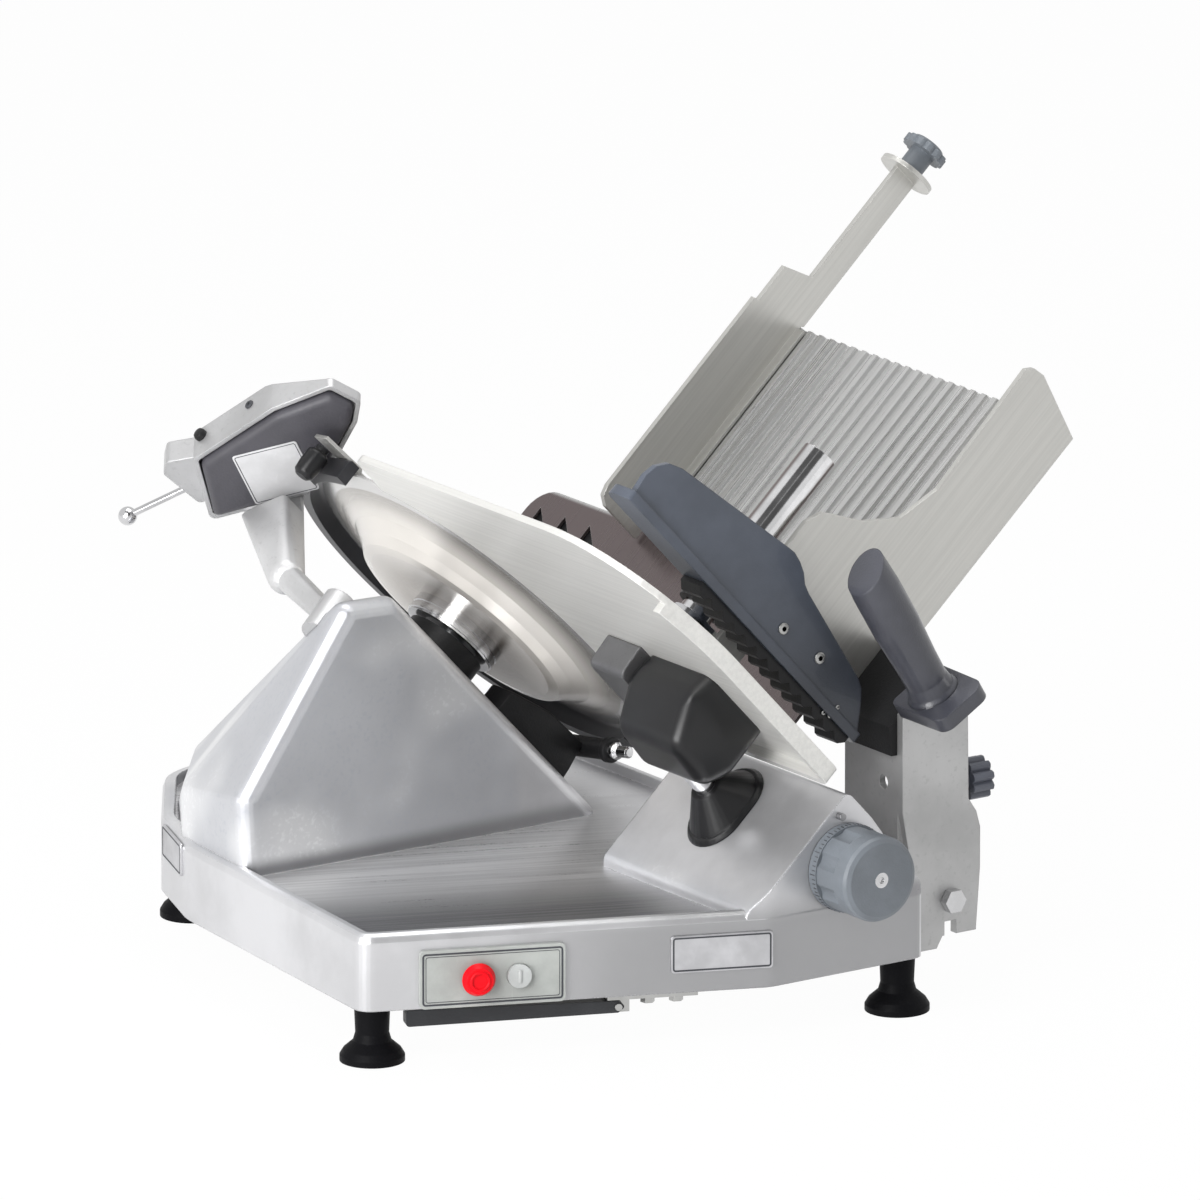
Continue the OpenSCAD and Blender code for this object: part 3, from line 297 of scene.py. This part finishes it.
def ground_knife():
    """Knife steel: turned rings, a ground band at the edge, and a glossier dish with a painted reflection,
    brown near the hub and pale further out.
    """
    colour = (0.48, 0.465, 0.44)
    metal = 0.72
    hub_reflection_brown, dish_reflection_pale = (0.36, 0.32, 0.275), (0.82, 0.785, 0.74)
    f = Finish("knife_ground_steel", colour, 0.3, metal)
    x, y, z = f.parts(f.seen_in(BLADE))
    out = (x * x + y * y) ** 0.5
    rings = f.make("TexNoise", {"noise_dimensions": "1D"}, {
        "W": out * 1400, "Detail": 4.0, "Roughness": 0.6})
    smear = f.grain(11, 4, 0.6)
    edge = f.step(out, 0.1475, 0.1495)
    dish = 1 - f.step(z, -0.012, -0.003)
    shade = f.mix(f.step(rings, 0.3, 0.7), tone(colour, 0.82), tone(colour, 1.1))
    # The dish's colour is a painted reflection, brown near the hub and pale further out
    shade = f.mix(dish * 0.8, shade, f.mix(f.step(out, 0.05, 0.11), hub_reflection_brown, dish_reflection_pale))
    shade = f.mix(f.step(smear, 0.5, 0.8) * 0.25, shade, tone(colour, 0.7))
    f.set("Base Color", f.mix(edge * 0.7, shade, (0.74, 0.74, 0.74)))
    f.set("Metallic", metal - dish * 0.3)
    f.set("Roughness", 0.25 + (rings - 0.5) * 0.16 - dish * 0.07 - edge * 0.06 + (smear - 0.5) * 0.1)
    f.bump(rings, 0.00004)
    return f


def turned_metal(name, colour, rough, lines=0.2, sides=None):
    """Machined or plated steel with fine tool marks; round bars can have a painted dark reflection towards
    their sides.
    """
    f = Finish(name, colour, rough, 1.0)
    normal, worn = f.soft_edges(0.5 * MM)
    marks = f.grain(700, 4, 0.6)
    smear = f.grain(30, 4, 0.6)
    shade = f.mix(f.step(smear, 0.35, 0.7), tone(colour, 0.84), tone(colour, 1.06))
    shade = f.mix(worn * 0.4, shade, tone(colour, 1.3))
    # A painted dark reflection towards a round bar's sides
    if sides:
        away = f.make("LayerWeight", {}, {"Blend": 0.5}, "Facing")
        shade = f.mix(f.step(away, 0.3, 0.62), shade, sides)
    f.set("Base Color", shade)
    f.set("Roughness", rough + (marks - 0.5) * lines + (smear - 0.5) * 0.1)
    f.bump(marks, 0.00003, normal)
    return f


def moulded(name, colour, rough, texture=0.00012, scale=650, edge=0.9, coat=0.0, shine=0.5, dust=0.2):
    """Moulded plastic or paint: fine leather-like grain, paler rubbed edges, faint dust."""
    f = Finish(name, colour, rough)
    normal, worn = f.soft_edges(edge * MM)
    cells = f.make("TexVoronoi", {"feature": "SMOOTH_F1"}, {"Vector": f.place, "Scale": scale}, "Distance")
    clouds = f.grain(18, 5, 0.6)
    scuff = f.grain(1, 5, 0.65, f.stretched(f.place, (300, 60, 34)))
    shade = f.mix(f.step(clouds, 0.35, 0.7), tone(colour, 0.88), tone(colour, 1.12))
    shade = f.mix(worn * f.step(clouds, 0.35, 0.6) * 0.5, shade, tone(colour, 1.9))
    shade = f.mix(f.step(scuff, 0.62, 0.78) * dust, shade, tone(colour, 1.6))
    f.set("Base Color", shade)
    f.set("Roughness", rough + (cells - 0.4) * dust * 0.7 + (clouds - 0.5) * dust * 0.8)
    f.set("Coat Weight", coat)
    f.set("Specular IOR Level", shine)
    f.bump(cells, texture, normal)
    return f


def pusher_moulding():
    """Slate plastic, with painted shade darkening the plate's lower end."""
    f = moulded("pusher_plastic_blue_grey", (0.07, 0.082, 0.108), 0.38, 0.00006, edge=2.4, coat=0.2, dust=0.1)
    shade = Value(f.tree, f.shader.inputs["Base Color"].links[0].from_socket)
    # Painted shade towards the plate's lower end
    low = 1 - f.step(f.parts(f.seen_in(BLADE))[1], -0.06, 0.02)
    f.set("Base Color", f.mix(low * 0.75, shade, (0.022, 0.026, 0.036)))
    return f


def abrasive():
    """Grinding stone: coarse grains with dark pores."""
    f = Finish("grinding_stone", (0.32, 0.3, 0.28), 0.9)
    grains = f.make("TexVoronoi", {"feature": "F1"}, {"Vector": f.place, "Scale": 1100.0}, "Distance")
    pores = f.grain(500, 3, 0.6)
    f.set("Base Color", f.mix(f.step(pores, 0.4, 0.65), (0.12, 0.11, 0.1), (0.4, 0.37, 0.34)))
    f.set("Roughness", 0.85 + (grains - 0.5) * 0.2)
    f.bump(grains, 0.0004)
    return f


LONG = (4, 260, 260)       # brushed along the operator's reach
FEED = (260, 260, 5)       # brushed along the product's slide
APRON_TOP = 0.152          # distance from the knife at which the painted dark reflection on the table's apron ends

casting = cast_metal("satin_casting", (0.58, 0.58, 0.585), 0.42)
arm_casting = cast_metal("arm_casting", (0.46, 0.46, 0.46), 0.42)
bracket_casting = cast_metal("bracket_casting", (0.15, 0.15, 0.155), 0.3, 2.4)
sharpener_casting = cast_metal("sharpener_casting", (0.5, 0.5, 0.505), 0.38)
# The ring guard is painted nearly black, standing in for the shade inside its channel
guard_shade_metal = cast_metal("guard_casting_painted_shade", (0.05, 0.05, 0.055), 0.4, 1.0)
base_casting = base_metal()
plate_sheet = brushed_sheet("gauge_sheet_brushed", (0.74, 0.735, 0.71), 0.38, LONG, 1.2, 0.5)
table_sheet = brushed_sheet("table_sheet_brushed", (0.56, 0.56, 0.555), 0.28, FEED, 1.0, apron=APRON_TOP)
wall_sheet = brushed_sheet("wall_sheet_brushed", (0.56, 0.555, 0.53), 0.34, FEED, 1.0)
knife_steel = ground_knife()
chrome = turned_metal("chrome_plate", (0.66, 0.66, 0.67), 0.12, 0.06)
# The slide rod gets a painted dark reflection along its sides
rod_chrome = turned_metal("rod_chrome", (0.8, 0.8, 0.81), 0.12, 0.06, (0.16, 0.125, 0.12))
machined = turned_metal("machined_steel", (0.42, 0.42, 0.43), 0.32)
zinc = turned_metal("zinc_plate", (0.5, 0.5, 0.49), 0.36)
badge_metal = turned_metal("badge_plate_satin", (0.62, 0.62, 0.64), 0.34)
pusher_plastic = pusher_moulding()
grip_plastic = moulded("grip_plastic_grey", (0.052, 0.054, 0.068), 0.34, edge=3.0, coat=0.3)
gloss_plastic = moulded("gloss_plastic_black", (0.008, 0.008, 0.009), 0.3, 0.000002, 420, 2.5,
                        shine=0.4, dust=0.04)
black_plastic = moulded("black_plastic", (0.013, 0.013, 0.014), 0.42, shine=0.25)
knob_plastic = moulded("knob_plastic_grey", (0.16, 0.178, 0.2), 0.44)
lock_plastic = moulded("lock_plastic_grey", (0.1, 0.108, 0.135), 0.4)
stop_plastic = moulded("stop_plastic_red", (0.8, 0.002, 0.01), 0.42, 0.00002, 420, 0.6, shine=0.16, dust=0.02)
start_plastic = moulded("start_plastic_pale", (0.46, 0.475, 0.47), 0.36, 0.00002, 420, 0.6,
                        shine=0.3, dust=0.05)
rubber = moulded("foot_rubber_black", (0.004, 0.004, 0.005), 0.5, 0.0001, 500, shine=0.07)
panel_paint = moulded("panel_paint_grey", (0.36, 0.375, 0.36), 0.42, 0.00006, 380, 0.5)
dark_paint = moulded("dark_paint", (0.03, 0.031, 0.034), 0.46, 0.0001, 300, shine=0.3)
sharpener_paint = moulded("sharpener_paint_grey", (0.06, 0.058, 0.068), 0.44, 0.00012, 480, 1.4)
border_paint = moulded("border_paint_dark", (0.04, 0.042, 0.05), 0.5, 0.00004, 400, 0.2)
label_paint = moulded("label_plate_pale", (0.56, 0.56, 0.57), 0.45, 0.00004, 380, 0.3)
stone = abrasive()

# Finish of each slot, and of the pieces that differ from their slot
SLOT_FINISH = {
    "satin_casting": casting, "stainless": wall_sheet, "knife_steel": knife_steel, "polished": chrome,
    "dark_plastic": grip_plastic, "black_plastic": black_plastic, "knob_grey": knob_plastic,
    "panel_grey": panel_paint, "stop_red": stop_plastic, "start_pale": start_plastic, "rubber_black": rubber,
    "painted_dark": dark_paint, "machined_steel": machined, "sharpener_grey": sharpener_paint, "stone": stone}
NODE_FINISH = {
    "base_housing": base_casting, "gauge_plate": plate_sheet, "product_table": table_sheet,
    "pusher_plate": pusher_plastic, "pusher_collar": pusher_plastic, "ring_guard": guard_shade_metal,
    "kickstand_bracket": zinc, "kickstand_bolts": zinc, "gauge_boot": gloss_plastic,
    "tilt_knob": lock_plastic, "slide_rod": rod_chrome, "carriage_arm": arm_casting,
    "sharpener_housing": sharpener_casting, "gauge_bracket": bracket_casting}


def slot_of_nodes():
    """Slot of each solid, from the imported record."""
    return {part["node"]: part["material_slot"] for part in frame["record"]["subparts"]}


def dress(node, finish):
    """Gives a solid its finish."""
    solid = nodes[node]
    if not solid.material_slots:
        solid.data.materials.append(finish.material)
    for holder in solid.material_slots:
        holder.material = finish.material


# Small pieces

def linked(name, data):
    """An object of the scene."""
    made = bpy.data.objects.new(name, data)
    bpy.context.scene.collection.objects.link(made)
    return made


def finished(name, bm, finish, body, place):
    """A piece from a bmesh in a frame's metres, riding on a body."""
    bmesh.ops.remove_doubles(bm, verts=bm.verts[:], dist=1e-6)
    bm.transform(place)
    bmesh.ops.recalc_face_normals(bm, faces=bm.faces[:])
    mesh = bpy.data.meshes.new(name)
    bm.to_mesh(mesh)
    bm.free()
    mesh.shade_smooth()
    mesh.set_sharp_from_angle(angle=math.radians(32))
    mesh.materials.append(finish.material)
    made = linked(name, mesh)
    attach(made, body)
    return made


def bevel(bm, parts, width, affect, segments):
    """Corners or edges rounded off, the width in millimetres."""
    bmesh.ops.bevel(bm, geom=parts, offset=width * MM, affect=affect, segments=segments,
                    profile=0.5, material=-1)


def flat(width, height, corner):
    """A rounded rectangle about the origin, in millimetres."""
    bm = bmesh.new()
    corners = [bm.verts.new((x * width / 2 * MM, y * height / 2 * MM, 0))
               for x, y in ((-1, -1), (1, -1), (1, 1), (-1, 1))]
    bm.faces.new(corners)
    bevel(bm, corners, corner, "VERTICES", 5)
    return bm


def thicken(bm, height):
    """Faces raised into a closed slab."""
    raised = bmesh.ops.extrude_face_region(bm, geom=bm.faces[:], use_keep_orig=True)
    top = [part for part in raised["geom"] if isinstance(part, bmesh.types.BMVert)]
    bmesh.ops.translate(bm, vec=(0, 0, height * MM), verts=top)


def at_height(edge, height):
    """Whether both ends of an edge are up there."""
    return all(vert.co.z > (height - 0.01) * MM for vert in edge.verts)


def slab(width, height, thick, corner, edge):
    """A rounded plate, its upper edges rounded off."""
    bm = flat(width, height, corner)
    thicken(bm, thick)
    if edge:
        rim = [line for line in bm.edges if len(line.link_faces) == 2
               and at_height(line, thick) and line.calc_face_angle(0) > 0.6]
        bevel(bm, rim, edge, "EDGES", 2)
    return bm


def border(width, height, line, thick, corner):
    """A raised line round a rounded rectangle."""
    bm = flat(width, height, corner)
    bm.faces.ensure_lookup_table()
    middle = bm.faces[0]
    bmesh.ops.inset_region(bm, faces=[middle], thickness=line * MM, use_boundary=True, use_even_offset=True)
    bmesh.ops.delete(bm, geom=[middle], context="FACES")
    thicken(bm, thick)
    return bm


def prism(outline, thick, edge, segments=2, sharp_above=None):
    """An outline in a frame's millimetres, raised along z, its edges softened up to that y."""
    bm = bmesh.new()
    bm.faces.new([bm.verts.new((x * MM, y * MM, 0)) for x, y in outline])
    thicken(bm, thick)
    soft = [side for side in bm.edges
            if sharp_above is None or any(vert.co.y < sharp_above * MM for vert in side.verts)]
    bevel(bm, soft, edge, "EDGES", segments)
    return bm


def turned(profile, steps=40):
    """A shape turned about z from a profile of radius and height, in millimetres."""
    bm = bmesh.new()
    points = [bm.verts.new((radius * MM, 0, height * MM)) for radius, height in profile]
    lines = [bm.edges.new(pair) for pair in zip(points, points[1:])]
    bmesh.ops.spin(bm, geom=points + lines, cent=(0, 0, 0), axis=(0, 0, 1), dvec=(0, 0, 0),
                   angle=2 * math.pi, steps=steps, use_merge=True)
    return bm


def joined(target, extra, place):
    """Adds one bmesh to another, in a place of its frame."""
    extra.transform(place)
    carrier = bpy.data.meshes.new("carrier")
    extra.to_mesh(carrier)
    extra.free()
    target.from_mesh(carrier)
    bpy.data.meshes.remove(carrier)


def socket_screw(radius, height):
    """A low screw head with a six-sided socket."""
    bm = turned([(0, 0), (radius, 0), (radius, height * 0.6), (radius * 0.9, height * 0.9),
                 (radius * 0.8, height)], 24)
    bmesh.ops.remove_doubles(bm, verts=bm.verts[:], dist=1e-7)
    rim = [edge for edge in bm.edges if at_height(edge, height)]
    hexagon = bmesh.ops.create_circle(bm, segments=6, radius=radius * 0.48 * MM)["verts"]
    bmesh.ops.translate(bm, vec=(0, 0, height * MM), verts=hexagon)
    sides = list({edge for vert in hexagon for edge in vert.link_edges})
    bmesh.ops.bridge_loops(bm, edges=rim + sides)
    sunk = bmesh.ops.extrude_edge_only(bm, edges=sides)["geom"]
    floor = [part for part in sunk if isinstance(part, bmesh.types.BMVert)]
    bmesh.ops.translate(bm, vec=(0, 0, -height * 0.6 * MM), verts=floor)
    bmesh.ops.contextual_create(bm, geom=floor)
    return bm


def dial_marks():
    """Fine lines round the dial's rim, every fifth one longer."""
    count = 60
    rim, depth = 37.15, 9.0
    bm = bmesh.new()
    for k in range(count):
        length = 6.5 if k % 5 == 0 else 3.6
        line = bmesh.new()
        bmesh.ops.create_cube(line, size=1)
        bmesh.ops.scale(line, vec=(0.5 * MM, 0.55 * MM, length * MM), verts=line.verts[:])
        joined(bm, line, turn(360 * k / count, "Z") @ shift(rim, 0, depth - length / 2))
    finished("dial_marks", bm, border_paint, "index_rotor", INDEX)


def screws(name, places, radius, height, finish, body, place):
    """Screw heads at these places of a frame, as one piece."""
    bm = bmesh.new()
    for x, y in places:
        joined(bm, socket_screw(radius, height), shift(x, y, 0))
    finished(name, bm, finish, body, place)


slots = slot_of_nodes()
for node in nodes:
    dress(node, NODE_FINISH.get(node) or SLOT_FINISH[slots[node]])

# Switch panel: a dark double line round the plate, a ring on the stop button, a bar on the start button
PANEL = FRONT @ shift(110, 73.3, 4)
STOP_FACE = FRONT @ shift(97, 73, 16)
START_FACE = FRONT @ shift(132, 73, 7.8)
RING = [(6.2, -0.5), (6.2, 0.7), (7, 1.3), (8, 1.3), (8.8, 0.7), (8.8, -0.5), (6.2, -0.5)]
finished("panel_border", border(118, 44.5, 1.5, 0.25, 3), border_paint, "base", PANEL)
finished("panel_border_inner", border(112.5, 39, 0.5, 0.25, 2), border_paint, "base", PANEL)
finished("stop_ring", turned(RING), stop_plastic, "stop_key", STOP_FACE)
finished("start_bar", slab(2.6, 11, 1.4, 1, 0.5), start_plastic, "start_key", START_FACE)

# Plain plates where the machine carries its badges, with a dark line round them
BADGE = FRONT @ shift(303, 81, -0.3)
for name, place, width, height in (("front_badge", BADGE, 86, 32), ("rear_badge", REAR, 66, 28)):
    finished(name + "_plate", slab(width, height, 2.2, 3, 0.8), badge_metal, "base", place)
    finished(name + "_border", border(width - 3, height - 3, 1.4, 0.2, 2.5), border_paint,
             "base", place @ shift(0, 0, 2.15))

# The sharpener's cover, with a full round along its edge
COVER_THICK = 16
COVER_FRONT = [(-56, -12), (23, -29), (36, -29), (102, 16), (115, 31), (106, 53), (54, 58), (-30, 46)]
cover = finished("sharpener_cover_form", prism(COVER_FRONT, COVER_THICK, 7, 5), sharpener_paint,
                 "base", COVER @ shift(0, 0, -COVER_THICK))
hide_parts("sharpener_cover")

# Blank instruction plate on the sharpener
LABEL = COVER @ shift(18.6, 5.7, 0) @ turn(-14, "Z")
finished("label_plate", slab(57, 58, 0.7, 2.5, 0.3), label_paint, "base", LABEL)
finished("label_border", border(54, 55, 0.7, 0.2, 2), border_paint, "base",
         LABEL @ shift(0, 0, 0.65))

dial_marks()

# Screws of the pusher, and the cap and screw on the sharpener
CAP = [(0, -1), (5.5, -1), (5.5, 3), (4.6, 5), (2.5, 5.6), (0, 5.6)]
screws("pusher_screws", [(-9, 66.5), (38.6, 72.2)], 5, 2, zinc, "pusher", PUSHER_BACK)
screws("pusher_tip_screws", [(76, 43), (83, 45), (84, 55)], 2, 1, zinc, "pusher", PUSHER_BACK)
finished("sharpener_cap", turned(CAP, 28), black_plastic, "base", SHARP_TOP)
screws("sharpener_screw", [(0, 54.2)], 4, 1.6, border_paint, "base", SHARP_TOP)

# The gauge's block, rounded all over but for its seat under the plate
BLOCK = BLADE @ axes((-376, 0, 0), (0, 1, 0), (0, 0, 1), (1, 0, 0))
BLOCK_LENGTH = 92
BLOCK_SEAT = -8
BLOCK_END = [(-30, -76), (20, -72), (42, -31), (37, -7.1), (-43, -7.1), (-44, -50)]
block = finished("gauge_block_form", prism(BLOCK_END, BLOCK_LENGTH, 12, 6, BLOCK_SEAT), gloss_plastic,
                 "gauge", BLOCK)
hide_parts("gauge_block")

# The cover's latch: a slim black cap
LATCH = BLADE @ turn(78, "Z") @ shift(196, 0, -10)
LATCH_SIDE = [(0, -20), (6, -20), (9, -17), (10, -8), (10, 3), (7, 6), (6, 6), (6, 10), (0, 10)]
latch = finished("latch_cap", turned(LATCH_SIDE, 32), gloss_plastic, "latch", LATCH)
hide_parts("cover_latch")

# Dark sheet behind the apron's notches, painted shade seen through them
APRON = BLADE @ axes((108, -107, 125), (1, 0, 0), (0, 0, 1), (0, -1, 0))
finished("apron_notch_shade", slab(116, 34, 1.2, 3, 0), black_plastic, "tilt_frame", APRON)

# Dark cover on the housing's slope under the knife, with a short tube and its fitting
SLOPE = BLADE @ axes((-62, 0, 0), (0, 1, 0), (0, 0, 1), (1, 0, 0))
SLOPE_SIDE = [(-40, -81), (-40, -52), (-85, -40), (-131, -38), (-136, -62), (-138, -81)]
TUBE = BLADE @ axes((-36, -139, -40), (0, 1, 0), (0.165, 0, 0.986), (-0.986, 0, 0.165))
TUBE_SIDE = [(0, 0), (9, 0), (9, 48), (10.8, 48), (10.8, 53), (9.4, 54), (0, 54)]
FITTING_SIDE = [(0, 53), (7.5, 53), (7.5, 60), (5, 63), (5, 74), (3.5, 75), (0, 75)]
finished("slope_cover", prism(SLOPE_SIDE, 30, 2), black_plastic, "base", SLOPE)
finished("slope_tube", turned(TUBE_SIDE, 32), black_plastic, "base", TUBE)
finished("tube_fitting", turned(FITTING_SIDE, 28), chrome, "base", TUBE)


# Floor, light and camera

def studio_floor():
    """A floor that is white to the camera and in reflections, and takes soft shadows."""
    half_width = 8
    whiteness = 0.97
    bm = bmesh.new()
    bmesh.ops.create_grid(bm, x_segments=1, y_segments=1, size=half_width)
    mesh = bpy.data.meshes.new("floor")
    bm.to_mesh(mesh)
    bm.free()
    floor = linked("floor", mesh)
    f = Finish("floor_white", (0.9, 0.9, 0.9), 0.9)
    path = f.tree.nodes.new("ShaderNodeLightPath")
    camera, glossy, through = [Value(f.tree, path.outputs[name])
                               for name in ("Is Camera Ray", "Is Glossy Ray", "Is Transmission Ray")]
    white = f.tree.nodes.new("ShaderNodeEmission")
    both = f.tree.nodes.new("ShaderNodeMixShader")
    f.tree.links.new((camera.most(glossy).most(through) * whiteness).socket, both.inputs[0])
    f.tree.links.new(f.shader.outputs[0], both.inputs[1])
    f.tree.links.new(white.outputs[0], both.inputs[2])
    f.tree.links.new(both.outputs[0], f.last.inputs["Surface"])
    mesh.materials.append(f.material)


def studio_world(level):
    """White to the camera, soft grey light, and reflections with three dark flags for the chrome."""
    flag_aims = ((-0.23, -0.79, 0.57), (0.75, -0.45, -0.48), (-0.48, -0.27, 0.84))
    flag_edge, flag_core = 0.93, 0.965     # cosine of the angle to a flag's middle
    mirrored, flag_depth = 0.82, 0.72
    world = bpy.data.worlds.new("studio")
    bpy.context.scene.world = world
    world.use_nodes = True
    tree = world.node_tree
    tree.nodes.clear()
    path = tree.nodes.new("ShaderNodeLightPath")
    camera, through, glossy = [Value(tree, path.outputs[name])
                               for name in ("Is Camera Ray", "Is Transmission Ray", "Is Glossy Ray")]
    sky = tree.nodes.new("ShaderNodeTexCoord")
    flags = None
    for aim in flag_aims:
        along = tree.nodes.new("ShaderNodeVectorMath")
        along.operation = "DOT_PRODUCT"
        tree.links.new(sky.outputs["Generated"], along.inputs[0])
        along.inputs[1].default_value = Vector(aim).normalized()
        spread = tree.nodes.new("ShaderNodeMapRange")
        spread.inputs["From Min"].default_value = flag_edge
        spread.inputs["From Max"].default_value = flag_core
        tree.links.new(along.outputs["Value"], spread.inputs["Value"])
        flag = Value(tree, spread.outputs[0])
        flags = flag if flags is None else flags.most(flag)
    seen = camera.most(through)
    reflected = glossy * (mirrored - flags * flag_depth) * (1 - seen)
    light = seen + reflected + (1 - glossy) * (1 - seen) * level
    shade = tree.nodes.new("ShaderNodeBackground")
    shade.inputs["Color"].default_value = (1, 1, 1, 1)
    tree.links.new(light.socket, shade.inputs["Strength"])
    last = tree.nodes.new("ShaderNodeOutputWorld")
    tree.links.new(shade.outputs[0], last.inputs["Surface"])


def aimed(made, place, sight):
    """Puts a lamp or camera in a place, looking that way."""
    made.location = place
    made.rotation_mode = "QUATERNION"
    made.rotation_quaternion = sight.to_track_quat("-Z", "Y")


def softbox(name, place, aim, size, power):
    """A rectangular lamp, with its width and height in metres."""
    lamp = bpy.data.lights.new(name, "AREA")
    lamp.shape = "RECTANGLE"
    lamp.size, lamp.size_y = size
    lamp.energy = power
    aimed(linked(name, lamp), place, Vector(aim) - Vector(place))


def photo_camera():
    """The photo's view: from far off with a long lens, so nearly parallel."""
    sight = Vector((0.553, 0.790, -0.2656)).normalized()
    middle = Vector((11.85, 78.1, 272.5)) * MM
    distance = 20
    lens = bpy.data.cameras.new("camera")
    lens.sensor_width = 36
    lens.lens = 720
    lens.clip_end = 200
    made = linked("camera", lens)
    aimed(made, middle - sight * distance, sight)
    bpy.context.scene.camera = made


studio_floor()
studio_world(0.38)
softbox("key_softbox", (-2.15, -0.98, 1.9), (-0.15, 0.02, 0.25), (1.3, 1.3), 40)
softbox("left_softbox", (-2.35, -0.68, 0.45), (-0.15, -0.03, 0.3), (1.6, 0.7), 36)
softbox("top_softbox", (0.15, 0.22, 2.6), (-0.1, 0.02, 0.2), (1.8, 1.4), 26)
softbox("right_softbox", (2.05, -1.38, 1.2), (-0.05, 0.02, 0.3), (0.8, 1.4), 5)
photo_camera()
bpy.context.scene.view_settings.view_transform = "Standard"
